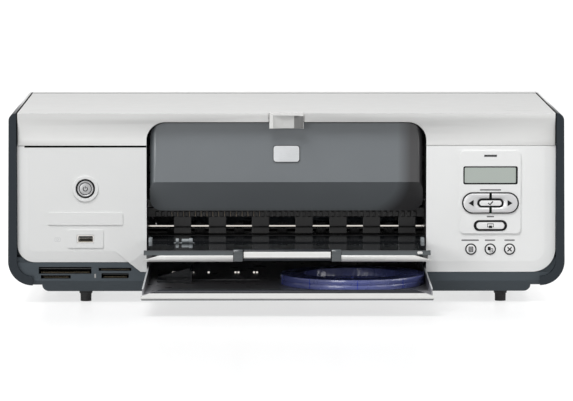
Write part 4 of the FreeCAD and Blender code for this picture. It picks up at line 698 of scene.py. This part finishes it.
def make_enter_key():
    """The middle key: a black rim with a pale crowned cap and a check mark."""
    _, surface, level = Limits("key_enter").front
    centre = (control_x, level)
    with piece("key_enter_rim", RING_BLACK, "key_enter") as mesh:
        add_cap(mesh, stadium(21.1, 6.4, centre), centre, surface, rise=0.35, skirt=0.4)
    with piece("key_enter_cap", SILVER_WHITE, "key_enter") as mesh:
        add_cap(mesh, stadium(18.2, 4.3, centre), centre, surface - 0.25, rise=0.3, skirt=0.3)
    with piece("key_enter_mark", DARK_INK, "key_enter") as mesh:
        check = [(control_x + u, level + v) for u, v in ((-1.9, 0.1), (-0.5, -1.3), (2.0, 1.5))]
        add_stroke(mesh, check, 0.95, (surface - 0.62, surface - 0.2))


def make_print_key():
    """The print key: a pale crowned cap with a sheet that leaves a frame."""
    _, surface, level = Limits("key_print").front
    centre = (control_x, level)
    with piece("key_print_cap", SILVER_WHITE, "key_print") as mesh:
        add_cap(mesh, stadium(22.9, 5.4, centre), centre, surface, rise=0.25, skirt=0.3)
    depth = (surface - 0.32, surface - 0.1)
    line = ((-1.2, -1.1), (-2.4, -1.1), (-2.4, 1.5), (2.4, 1.5), (2.4, -1.1), (1.2, -1.1))
    with piece("key_print_mark", DARK_INK, "key_print") as mesh:
        add_stroke(mesh, [(control_x + u, level + v) for u, v in line], 0.6, depth)
        add_prism(mesh, "y", rounded(2.6, 2.0, 0.2, (control_x, level - 1.0), steps=2), *depth)


def add_round_mark(mesh, name, x, level, surface):
    """The mark of a round key: a page with lines, two overlapping sheets or a cross."""
    depth = (surface - 0.37, surface - 0.15)
    if name == "key_index":
        add_stroke(mesh, rounded(3.4, 4.1, 0.3, (x, level), steps=2), 0.4, depth, closed=True)
        for z in row(5, 0.7, level):
            add_stroke(mesh, [(x - 1.5, z), (x + 1.5, z)], 0.42, depth)
    elif name == "key_layout":
        add_prism(mesh, "y", rounded(2.4, 2.9, 0.2, (x - 0.9, level + 0.6), steps=2), *depth)
        sheet = rounded(2.4, 2.8, 0.2, (x + 0.9, level - 0.8), steps=2)
        add_stroke(mesh, sheet, 0.4, (surface - 0.39, surface - 0.15), closed=True)
        add_stroke(mesh, [(x + 0.1, level - 0.7), (x + 1.7, level - 0.7)], 0.5, depth)
    else:
        for rise in (-1.7, 1.7):
            add_stroke(mesh, [(x - 1.7, level - rise), (x + 1.7, level + rise)], 0.95, depth)


def make_round_keys():
    """Three crowned round keys with a page, a layout and a cancel mark."""
    crown = [(0.3, 3.5), (0, 3.5), (-0.2, 3.25), (-0.27, 2.2), (-0.3, 1.1), (-0.3, 0)]
    for name in ("key_index", "key_layout", "key_cancel"):
        x, surface, level = Limits(name).front
        with piece(f"{name}_cap", SILVER_WHITE, name) as mesh:
            add_lathe(mesh, "y", (x, level), surface, crown, sides=36)
        with piece(f"{name}_mark", DARK_INK, name) as mesh:
            add_round_mark(mesh, name, x, level, surface)


# ---- left panel

def make_power_button():
    """The button's dished silver face inside a rim, with the power mark."""
    x, surface, z = Limits("power_button").front
    face = [(0.9, 6.6), (0.1, 6.55), (-0.35, 6.2), (-0.4, 5.9), (-0.25, 5.5), (0.1, 5.2), (0.15, 4.9)]
    face += [(-0.05, 4.6), (-0.15, 3), (-0.2, 1.4), (-0.2, 0)]
    with piece("power_button_face", SILVER_DULL, "power_button") as mesh:
        add_lathe(mesh, "y", (x, z), surface, face, sides=64)
    with piece("power_button_mark", DARK_INK, "power_button") as mesh:
        depth = (surface - 0.27, surface)
        add_stroke(mesh, arc((x, z - 0.1), 1.75, 125, 415, steps=30), 0.65, depth)
        add_stroke(mesh, [(x, z + 0.3), (x, z + 2.1)], 0.6, depth)


def make_socket():
    """The front socket's tongue and contacts, the rim of its metal shell, and a plain mark beside it."""
    x, near, z = Limits("front_socket").front
    with piece("socket_tongue", BLACK, edge=0.1) as mesh:
        add_block(mesh, about(x, 5.75), (near + 2.2, near + 14), (z + 0.7, z + 2.43))
    # the contacts' brass is painted darker for the shade inside the socket
    with piece("socket_contacts", SHADED_BRASS, edge=0.05) as mesh:
        for middle in row(4, 2.5, x):
            add_block(mesh, about(middle, 0.6), (near + 2.1, near + 12), (z + 0.5, z + 0.75))
        add_block(mesh, about(x, 5.8), (near + 0.9, near + 15), (z - 2.43, z - 1.9))
    with piece("socket_mark", PALE_INK) as mesh:
        centre, depth = (x - 23, z - 0.6), printed(panel_face)
        for line in (rounded(4.4, 3, 0.5, centre, steps=3), arc(centre, 0.8, 0, 345)):
            add_stroke(mesh, line, 0.28, depth, closed=True)


# x and z of the middle, width and height of each card slot
CARD_SLOTS = (
    (-183, 27.2, 43.6, 5.8),
    (-190.7, 21.9, 24.6, 3.0),
    (-141.7, 28.1, 27.0, 2.7),
    (-141.7, 22.7, 22.5, 4.3),
)


def make_card_slots():
    """A row of contacts and a guide rail inside each card slot, and the small light beside them."""
    near = Limits("fascia_left").low.y
    pitch, light = 1.3, (-158.1, 22.7)
    # the contacts' brass is painted darker for the shade inside the slots
    with piece("card_contacts", SHADED_BRASS) as mesh:
        for x, z, width, tall in CARD_SLOTS:
            foot = z - tall / 2
            rise = (foot + 0.15, foot + min(1.2, tall * 0.34))
            for middle in row(int(width / pitch) - 2, pitch, x):
                add_block(mesh, about(middle, 0.3), (near + 6, near + 13), rise)
    with piece("card_rails", BLACK, edge=0.08) as mesh:
        for x, z, width, tall in CARD_SLOTS:
            rise = (z + tall * 0.12, z + tall * 0.26)
            add_block(mesh, about(x, width / 2 - 0.2), (near + 5.2, near + 13), rise)
    with piece("card_light", LENS_CLEAR, edge=0.1) as mesh:
        add_prism(mesh, "y", rounded(1.3, 3.4, 0.4, light, steps=4), near - 0.25, near + 0.4)


# ---- lid and door

def make_seam_shade():
    """Black strips of painted shade in the joints round the lid and beside the disc door, and the lid's
    groove in pale ink as its painted shade.
    """
    lid, door, panel = Limits("top_cover"), Limits("disc_door"), Limits("front_panel_left")
    near, top = panel.low.y, panel.high.z
    with piece("body_seam_shade", SHADE_BLACK) as mesh:
        add_block(mesh, (-216, -opening - 0.1), (near - 0.06, panel.high.y), (top - 1.3, top + 0.22))
        add_block(mesh, (opening + 0.1, 221), (near + 2, panel.high.y), (top - 0.05, top + 0.18))
        for side in (-1, 1):
            x = sorted((side * 221.75, side * 223))
            add_block(mesh, x, (lid.low.y + 1.4, lid.high.y - 3), (top + 2, lid.high.z + 0.03))
            x = sorted((side * 113.4, side * (opening - 0.05)))
            add_block(mesh, x, (door.low.y + 1.5, -74), (86, door.high.z + 0.1))
    with piece("lid_seam_shade", SHADE_BLACK, "lid") as mesh:
        add_block(mesh, (-98, 98), (door.low.y + 0.5, -75), (door.high.z + 0.35, door.high.z + 1.3))
    # the groove in the lid's top is a flat grey strip: painted shade in the recess
    with piece("lid_groove_shade", PALE_INK, "lid") as mesh:
        add_block(mesh, (182.5, 204.1), (-59.9, -59.2), (lid.high.z - 0.3, lid.high.z + 0.02))


def make_grip():
    """Painted shade in the right of the grip's hollow, a grey sheet that follows it there. The hollow is a
    part of a cylinder.
    """
    grip = Limits("door_grip")
    axis_y, radius, hollow_end = grip.low.y - 19, 22, 11.05
    start, length, steps = 6.3, 7.6, 10
    near, far = [], []
    for step in range(steps + 1):
        x = start + length * step / steps
        wall = axis_y + math.sqrt(radius ** 2 - min(x, hollow_end) ** 2)
        near.append((x, wall - 0.15))
        far.append((x, wall + 0.3))
    with piece("grip_painted_shade", SHADE_GREY, "disc_door", edge=0.08) as mesh:
        add_prism(mesh, "z", near + far[::-1], grip.low.z + 0.12, grip.high.z - 1.9)


def make_badge():
    """A blank, slightly crowned badge face in a thin rim."""
    x, near, z = Limits("door_badge").front
    with piece("door_badge_rim", DARK_INK, "disc_door", slot="badge_metal", edge=0.1) as mesh:
        add_cap(mesh, rounded(22.1, 14.1, 2.6, (x, z)), (x, z), near - 0.02, rise=0.08, skirt=0.8)
    with piece("door_badge_face", BADGE, "disc_door") as mesh:
        add_cap(mesh, rounded(21.2, 13.2, 2.2, (x, z)), (x, z), near - 0.1, rise=0.25, skirt=0.3)


# ---- paper path

# x of the stops between which the output shaft's tyres turn
EXIT_STOPS = (-104.5, -86.7, -57.4, -21.3, 15.2, 43.7, 71.8, 101.5)
# y and z of the two roller shafts
OUTPUT_SHAFT = (-22.5, 56.6)
FEED_SHAFT = (25.5, 50)


def add_tyre(mesh, shaft, x, width, radius):
    """A rubber tyre with rounded shoulders and shallow grooves."""
    half = width / 2
    profile = [(-half, radius - 1), (-half, radius - 0.4), (0.4 - half, radius)]
    count = max(2, int(width / 2.6))
    for groove in row(count, width / count):
        profile += [(groove - 0.35, radius), (groove - 0.15, radius - 0.3)]
        profile += [(groove + 0.15, radius - 0.3), (groove + 0.35, radius)]
    profile += [(half - 0.4, radius), (half, radius - 0.4), (half, radius - 1)]
    add_lathe(mesh, "x", shaft, x, profile, sides=44)


def make_tyres():
    """Grooved rubber tyres on the output and the feed shaft."""
    with piece("output_tyres", RUBBER, "output_roller") as mesh:
        for left, right in zip(EXIT_STOPS, EXIT_STOPS[1:]):
            add_tyre(mesh, OUTPUT_SHAFT, (left + right) / 2, 8.2, 4.75)
    with piece("feed_tyres", RUBBER, "feed_roller") as mesh:
        for x in row(4, 57.75):
            add_tyre(mesh, FEED_SHAFT, x, 24.2, 8.15)


def make_exit_strip():
    """The polished strip before the output rollers, leaning back a little, and its dark ledge, a sheet of
    painted shade.
    """
    strip = [(-30.1, 58.35), (-30.0, 59.4), (-29.2, 59.4), (-29.2, 58.35)]
    ledge = [(-36.7, 58.88), (-30.05, 58.3), (-30.05, 57.7), (-36.7, 58.2)]
    with piece("exit_rod", STRIP) as mesh:
        add_prism(mesh, "x", strip, *about(0, opening - 0.1))
    with piece("exit_ledge_shade", SHADE_BLACK, slot="black_plastic") as mesh:
        add_prism(mesh, "x", ledge, *about(0, opening - 0.1))


def make_comb():
    """Painted highlights along the edges of the comb teeth at the left of the exit guard."""
    guard = Limits("exit_guard")
    pitch, near, foot = 4.9, guard.low.y, guard.high.z - 7.5
    with piece("comb_painted_highlights", COMB_HIGHLIGHT) as mesh:
        for number in range(16):
            x = (number - 19.5) * pitch
            add_block(mesh, about(x, 0.2), (near - 0.04, near + 0.1), (foot + 0.2, foot + 4.3))


def make_output_tray():
    """A small grey roller, the corner stops, and a pale pad on the glossy tray's corner that is a painted
    glint.
    """
    tray = Limits("output_tray")
    top, roller_y, glint_spot = tray.high.z, -104.0, (107.3, 49.9)
    barrel = [(-86.3, 0), (-86.3, 1.4), (-85.9, 1.7), (-80.6, 1.7), (-80.6, 1.3), (-80.3, 1.3)]
    barrel += [(-80.3, 2.0), (-79.8, 2.2), (-77.8, 2.2), (-77.3, 1.9), (-77.3, 0)]
    wheel = [(-91.2, 0), (-91.2, 1.6), (-90.8, 2.0), (-89.0, 2.0), (-88.6, 1.6), (-88.6, 0)]
    with piece("sensor_roller", GREY, "output_tray") as mesh:
        for profile in (barrel, wheel):
            add_lathe(mesh, "x", (roller_y, top + 1.9), 0, profile, sides=32)
    with piece("tray_corner_stops", GREY, "output_tray", edge=0.35) as mesh:
        rest = rounded(17, 3, 1.2, (-84.3, roller_y + 2.4), steps=4)
        add_prism(mesh, "z", rest, top - 0.3, top + 0.35)
        for side in (-1, 1):
            stop = rounded(3, 12, 1.2, (side * 112.2, -90), steps=5)
            add_prism(mesh, "z", stop, top - 0.4, top + 3.1)
    # a pale pad on the tray's front corner: a painted glint
    with piece("tray_corner_glint", LIP_WHITE, "output_tray", slot="gloss_white") as mesh:
        add_cap(mesh, rounded(4.2, 2.2, 0.9, glint_spot), glint_spot, tray.low.y - 0.05, rise=0.3, skirt=0.8)


def make_flap_lines():
    """Painted shade in the gaps at the ends of the catch flap and along the fold line at its foot."""
    flap = Limits("catch_flap")
    low, high = flap.low, flap.high
    depth = (low.y - 0.04, low.y + 0.5)
    with piece("flap_gap_shade", SHADE_BLACK, "catch_flap") as mesh:
        for x in ((low.x - 0.05, low.x + 0.6), (high.x - 0.6, high.x + 0.05)):
            add_block(mesh, x, depth, (low.z + 0.4, high.z - 0.3))
    with piece("flap_fold_shade", SHADE_GREY, "catch_flap") as mesh:
        add_block(mesh, (low.x + 0.7, high.x - 0.7), depth, (low.z + 2.0, low.z + 2.7))


# x of the pegs on the main tray's floor, the first of them the widest
FLOOR_PEGS = (-94.3, -81.0, -78.0, -65.0, -42.4, -39.9, -26.8, -24.3)


def make_main_tray():
    """Pale bars along the tops of the tray's side walls, the bright leaning pegs on its floor and a dark
    strip of painted shadow under its lip.
    """
    lip = Limits("main_tray_lip")
    floor_z = 17.9
    with piece("tray_edge_bars", PALE_EDGE, "main_tray", edge=0.1) as mesh:
        for side in (-1, 1):
            foot = (side * 116.9, lip.high.y + 0.4, floor_z)
            near = (side * 116.4, lip.high.y + 0.2, 22.3)
            far = (side * 114.3, -96.6, 29.4)
            add_bar(mesh, near, far, 1.3, 0.35)
            add_bar(mesh, foot, near, 1.0, 0.3)
    peg = ((-19.6, -0.2), (-19.45, 1.4), (-18.9, 1.7), (-18, 1.7), (-17.4, 1.2), (-17.4, -0.2))
    with piece("tray_floor_pegs", STRIP, "main_tray", slot="white_plastic") as mesh:
        for x in FLOOR_PEGS:
            half = 1.5 if x == FLOOR_PEGS[0] else 0.8
            add_prism(mesh, "x", [(y, floor_z + rise) for y, rise in peg], *about(x, half))
    # a dark strip along the lip's underside: painted shadow
    with piece("tray_lip_shadow", DARK, "main_tray", edge=0.1) as mesh:
        depth, rise = (lip.low.y + 0.6, lip.high.y - 0.2), (lip.low.z - 0.6, lip.low.z + 0.1)
        add_block(mesh, about(0, 117.4), depth, rise)


def make_carrier_ribs():
    """Upright ribs round the clear ring and the lugs that hold a disc in its hub."""
    ring = Limits("disc_carrier")
    centre = Vector((ring.middle.x, ring.middle.y))
    radius = (ring.high.x - ring.low.x) / 2
    ribs, lugs, hub_radius, hub_z = 9, 3, 7.1, 22.0
    lug = [(0, 1.1), (0.6, 1.1), (0.9, 0.7), (0.9, 0)]
    with piece("carrier_ribs", RIB_BLUE, "disc_carrier") as mesh:
        for number in range(ribs):
            out = Vector(around((0, 0), 1, -87.2 + 360 / ribs * number))
            across = Vector((-out.y, out.x)) * 0.35
            inner, outer = centre + out * (radius - 0.4), centre + out * (radius + 0.12)
            outline = (inner - across, inner + across, outer + across, outer - across)
            add_prism(mesh, "z", outline, ring.low.z + 0.3, ring.high.z - 0.3)
        for number in range(lugs):
            spot = around(centre, hub_radius, 90 + 360 / lugs * number)
            add_lathe(mesh, "z", spot, hub_z, lug, sides=16)


# ---- inside the body

def make_cartridges():
    """Blank labels on the two cartridges, and plain coloured marks on their latches."""
    for name, tints in (("black", (DARK_INK,)), ("colour", (INK_CYAN, INK_MAGENTA, INK_YELLOW))):
        block, latch = Limits(f"cartridge_{name}"), Limits(f"latch_{name}")
        x, near, width = block.middle.x, block.low.y, block.high.x - block.low.x
        with piece(f"cartridge_{name}_label", LABEL, "carriage", slot="white_plastic") as mesh:
            outline = rounded(width - 5, 7, 1, (x, 105), steps=4)
            add_prism(mesh, "y", outline, near - 0.1, near + 0.2)
        marks = zip(tints, row(len(tints), 6, x))
        for number, (tint, middle) in enumerate(marks, start=1):
            mark = f"latch_{name}_mark_{number}"
            with piece(mark, tint, f"latch_{name}", slot="white_plastic", edge=0.05) as mesh:
                outline = rounded(4.4, 7, 1, (middle, latch.low.y + 12), steps=4)
                add_prism(mesh, "z", outline, latch.high.z - 0.2, latch.high.z + 0.15)


def make_boards():
    """Capacitors, chips and sockets on the main board."""
    board = Limits("main_board")
    low, high, highest_part = board.low, board.high, 2.5
    top = high.z - highest_part
    with piece("board_cans", SILVER) as mesh:
        for number in range(6):
            spot = (low.x + 8 + 9 * (number % 3), high.y - 9 - 10 * (number // 3))
            radius, tall = (3.2, 9) if number % 2 else (2.4, 7)
            can = [(-0.2, radius), (tall - 0.5, radius), (tall, radius - 0.5), (tall - 0.3, 0)]
            add_lathe(mesh, "z", spot, top, can, sides=24)
    with piece("board_chips", BLACK, edge=0.2) as mesh:
        for number in range(6):
            y, half = low.y + 9 + 14 * number, 3.4 - number % 3
            add_block(mesh, about(high.x - 7, half), about(y, half), (top - 0.1, top + 1.4))
    with piece("board_plugs", LIP_WHITE, edge=0.3) as mesh:
        for number in range(4):
            y = low.y + 12 + 15 * number
            add_block(mesh, (low.x + 2, low.x + 7), about(y, 5), (top - 0.1, top + 6))


def make_chassis():
    """Pan-head screws and stiffening beads on the bent steel chassis."""
    chassis = Limits("print_chassis")
    wall_y, top = chassis.high.y - 2, chassis.high.z
    head = [(-0.2, 2.6), (0.7, 2.6), (1.3, 1.82), (1.4, 0.78), (1.1, 0.572), (1.1, 0)]
    with piece("chassis_screws", SCREW) as mesh:
        for x in row(6, 70, 5):
            add_lathe(mesh, "z", (x, chassis.high.y - 7), top, head, sides=24)
    with piece("chassis_beads", SHEET, edge=0.5) as mesh:
        for x in row(6, 62, 21):
            add_prism(mesh, "y", rounded(50, 5, 2.4, (x, 124), steps=5), wall_y - 0.7, wall_y + 0.2)


# ---- back and underside

def make_back():
    """Vents, screws and a blank plate on the rear housing."""
    back = Limits("rear_housing").high.y
    with piece("back_vents", BLACK) as mesh:
        for side in (-1, 1):
            for number in range(9):
                x = side * (125 + number * 9.5)
                for slat in (stadium(4.6, 4.6, (x, 125), steps=6), rounded(3.2, 26, 1.59, (x, 96), steps=5)):
                    add_prism(mesh, "y", slat, back - 0.3, back + 0.06)
    head = [(-0.4, 4), (0.05, 4), (0.05, 3.1), (-0.1, 2.9), (-0.1, 0)]
    with piece("back_screws", SCREW) as mesh:
        for spot in ((-205, 140), (205, 140), (-205, 52), (205, 52), (-112, 24), (112, 24)):
            add_lathe(mesh, "y", spot, back, head)
    with piece("back_plate", LABEL, edge=0.04) as mesh:
        add_prism(mesh, "y", rounded(58, 26, 2, (160, 66), steps=5), back - 0.2, back + 0.08)


def make_rear_door():
    """Shallow ribs on the rear door, and the seal behind its edges."""
    door = Limits("rear_door")
    low, high = door.low, door.high
    with piece("rear_door_ribs", DARK, "rear_door", edge=0.12) as mesh:
        for z in row(11, 5, 69):
            add_prism(mesh, "y", rounded(170, 1.6, 0.7, (0, z), steps=3), high.y - 0.2, high.y + 0.28)
    depth = (low.y - 1.55, low.y - 0.35)
    with piece("rear_door_seal", BLACK, slot="rubber") as mesh:
        for side, reach in ((-1, opening + 0.1), (1, high.x + 0.5)):
            x = sorted((side * (high.x - 5.5), side * reach))
            add_block(mesh, x, depth, (low.z + 6, high.z + 1))
        add_block(mesh, (low.x + 5.6, high.x - 5.6), depth, (high.z - 5.5, high.z + 1))


def make_back_pins():
    """The pins of the power inlet and the contacts of the data socket, at the back."""
    back = Limits("rear_housing").high.y
    pin = [(-15, 0.9), (-4.5, 0.9), (-3.9, 0.6), (-3.7, 0)]
    inlet_x, socket_x = -150, -120
    with piece("back_pins", BRASS) as mesh:
        for x in row(2, 8.2, inlet_x):
            add_lathe(mesh, "y", (x, 40), back, pin, sides=18)
        for x in row(4, 1.2, socket_x):
            add_block(mesh, about(x, 0.3), (back - 10, back - 4.2), (41.8, 42.1))


def make_rear_cap():
    """The white strip that closes the top of the rear housing behind the lid."""
    rear = Limits("rear_housing")
    front, back, top = Limits("top_cover").high.y + 0.4, rear.high.y, rear.high.z
    outline = [
        (front, top - 0.3), (front, top + 0.03), (back - 0.9, top + 0.03), (back + 0.03, top - 0.9),
        (back + 0.03, top - 4), (back - 0.4, top - 4), (back - 0.4, top - 0.9), (back - 1, top - 0.3),
    ]
    with piece("rear_cap", WHITE) as mesh:
        add_prism(mesh, "x", outline, rear.low.x + 0.4, rear.high.x - 0.4)


def make_underside():
    """Rubber treads on the feet, and screws, vents and a blank plate on the belly."""
    feet = Limits("feet")
    belly = Limits("base_pan").low.z
    tread = [(0, 0), (0, 3.4), (0.25, 4.1), (1.0, 4.55), (2.2, 4.55), (2.5, 4.35), (2.8, 4.55)]
    tread += [(6.2, 4.6), (6.5, 5.3), (8.4, 5.6), (9.4, 5.8), (9.4, 0)]
    head = [(0.3, 4), (-0.15, 4), (-0.15, 2.9), (-0.05, 2.7), (-0.05, 0)]
    with piece("foot_treads", RUBBER) as mesh:
        for x in (feet.low.x + 4.5, feet.high.x - 4.5):
            for y in (feet.low.y + 4.5, feet.high.y - 4.5):
                add_lathe(mesh, "z", (x, y), 0, tread)
    with piece("belly_screws", SCREW) as mesh:
        for x in (-185, -70, 70, 185):
            for y in (-60, 60, 175):
                add_lathe(mesh, "z", (x, y), belly, head)
    with piece("belly_vents", BLACK, edge=0.1) as mesh:
        for y in row(12, 12, 26):
            add_prism(mesh, "z", rounded(120, 2.4, 1.1, (-40, y), steps=4), belly - 0.25, belly + 0.2)
    with piece("belly_plate", LABEL) as mesh:
        add_prism(mesh, "z", rounded(70, 40, 2, (110, 120), steps=5), belly - 0.1, belly + 0.2)


for make in (
    make_display, make_captions, make_rocker, make_enter_key, make_print_key, make_round_keys,
    make_power_button, make_socket, make_card_slots, make_seam_shade, make_grip, make_exit_strip,
    make_comb, make_badge, make_tyres, make_output_tray, make_flap_lines, make_main_tray,
    make_carrier_ribs, make_cartridges, make_boards, make_chassis, make_back, make_rear_door,
    make_back_pins, make_rear_cap, make_underside,
):
    make()


# ---- stage

def aim(name, data, place, target):
    """Adds a camera or a lamp that looks from a place to a target."""
    thing = show(name, data)
    thing.location = place
    thing.rotation_euler = (Vector(target) - Vector(place)).to_track_quat("-Z", "Y").to_euler()
    return thing


def make_camera():
    """A long lens far in front and a little above, as the photograph's perspective asks for."""
    data = bpy.data.cameras.new("camera")
    data.lens = 283
    data.sensor_width = 36
    data.clip_end = 50
    bpy.context.scene.camera = aim("camera", data, (-0.0276, -3.7925, 0.407), (0, -0.0925, 0.0856))


def make_lamp(name, place, target, size, power):
    """A rectangular lamp of a size in metres and a power in watts."""
    data = bpy.data.lights.new(name, "AREA")
    data.shape = "RECTANGLE"
    data.size, data.size_y = size
    data.energy = power
    aim(name, data, place, target)


def mix_by_rays(tree, plain, seen, target):
    """One shader for most rays, and another for camera, glossy and transmission rays."""
    path = tree.nodes.new("ShaderNodeLightPath")
    total = path.outputs["Is Camera Ray"]
    for name in ("Is Glossy Ray", "Is Transmission Ray"):
        larger = tree.nodes.new("ShaderNodeMath")
        larger.operation = "MAXIMUM"
        tree.links.new(total, larger.inputs[0])
        tree.links.new(path.outputs[name], larger.inputs[1])
        total = larger.outputs[0]
    mix = tree.nodes.new("ShaderNodeMixShader")
    for output, socket in zip((total, plain, seen), mix.inputs):
        tree.links.new(output, socket)
    tree.links.new(mix.outputs["Shader"], target.inputs["Surface"])


def make_world():
    """A faint ambient light, and a white backdrop for the rays that see it."""
    world = bpy.data.worlds.new("studio")
    world.use_nodes = True
    bpy.context.scene.world = world
    tree = world.node_tree
    ambient = tree.nodes["Background"]
    fill(ambient, {"Color": (0.96, 0.98, 1, 1), "Strength": 0.14})
    backdrop = tree.nodes.new("ShaderNodeBackground")
    backdrop.inputs["Strength"].default_value = 1.0
    shaders = (ambient.outputs["Background"], backdrop.outputs["Background"])
    mix_by_rays(tree, *shaders, tree.nodes["World Output"])


def floor_finish():
    """Pale grey that takes a shadow, with a glow for the rays that see the white backdrop."""
    finish = Finish("floor", Roughness=0.22)
    finish.paint(finish.ramp(finish.noise(3), (0.4, 0.4, 0.4), (0.41, 0.41, 0.41)))
    glow = finish.add("ShaderNodeEmission", Strength=0.66)
    both = finish.add("ShaderNodeAddShader")
    plain = finish.shader.outputs["BSDF"]
    finish.link(plain, both.inputs[0])
    finish.link(glow.outputs["Emission"], both.inputs[1])
    mix_by_rays(finish.tree, plain, both.outputs["Shader"], finish.tree.nodes["Material Output"])
    return finish.material


def make_floor():
    """A pale floor that looks white to the camera and still takes the object's shadow."""
    mesh = bmesh.new()
    bmesh.ops.create_circle(mesh, cap_ends=True, segments=96, radius=12)
    floor = show_mesh("floor", mesh, floor_finish())
    floor.location.z = -0.02 * MM


def make_stage():
    """The camera, the backdrop, the floor and four lamps."""
    bpy.context.scene.view_settings.view_transform = "Standard"
    make_camera()
    make_world()
    make_floor()
    middle = (0, 0, 0.08)
    make_lamp("lamp_key", (-0.7, -1.35, 2.2), middle, (1.7, 1.1), 58)
    make_lamp("lamp_fill", (-1.25, -2.5, 0.55), middle, (1.2, 0.6), 16)
    make_lamp("lamp_panel", (0.8, -0.9, 0.45), (0.2, 0, 0.08), (0.5, 0.5), 1.4)
    make_lamp("lamp_side", (2.2, -0.6, 0.8), middle, (1.0, 1.4), 13)


make_stage()
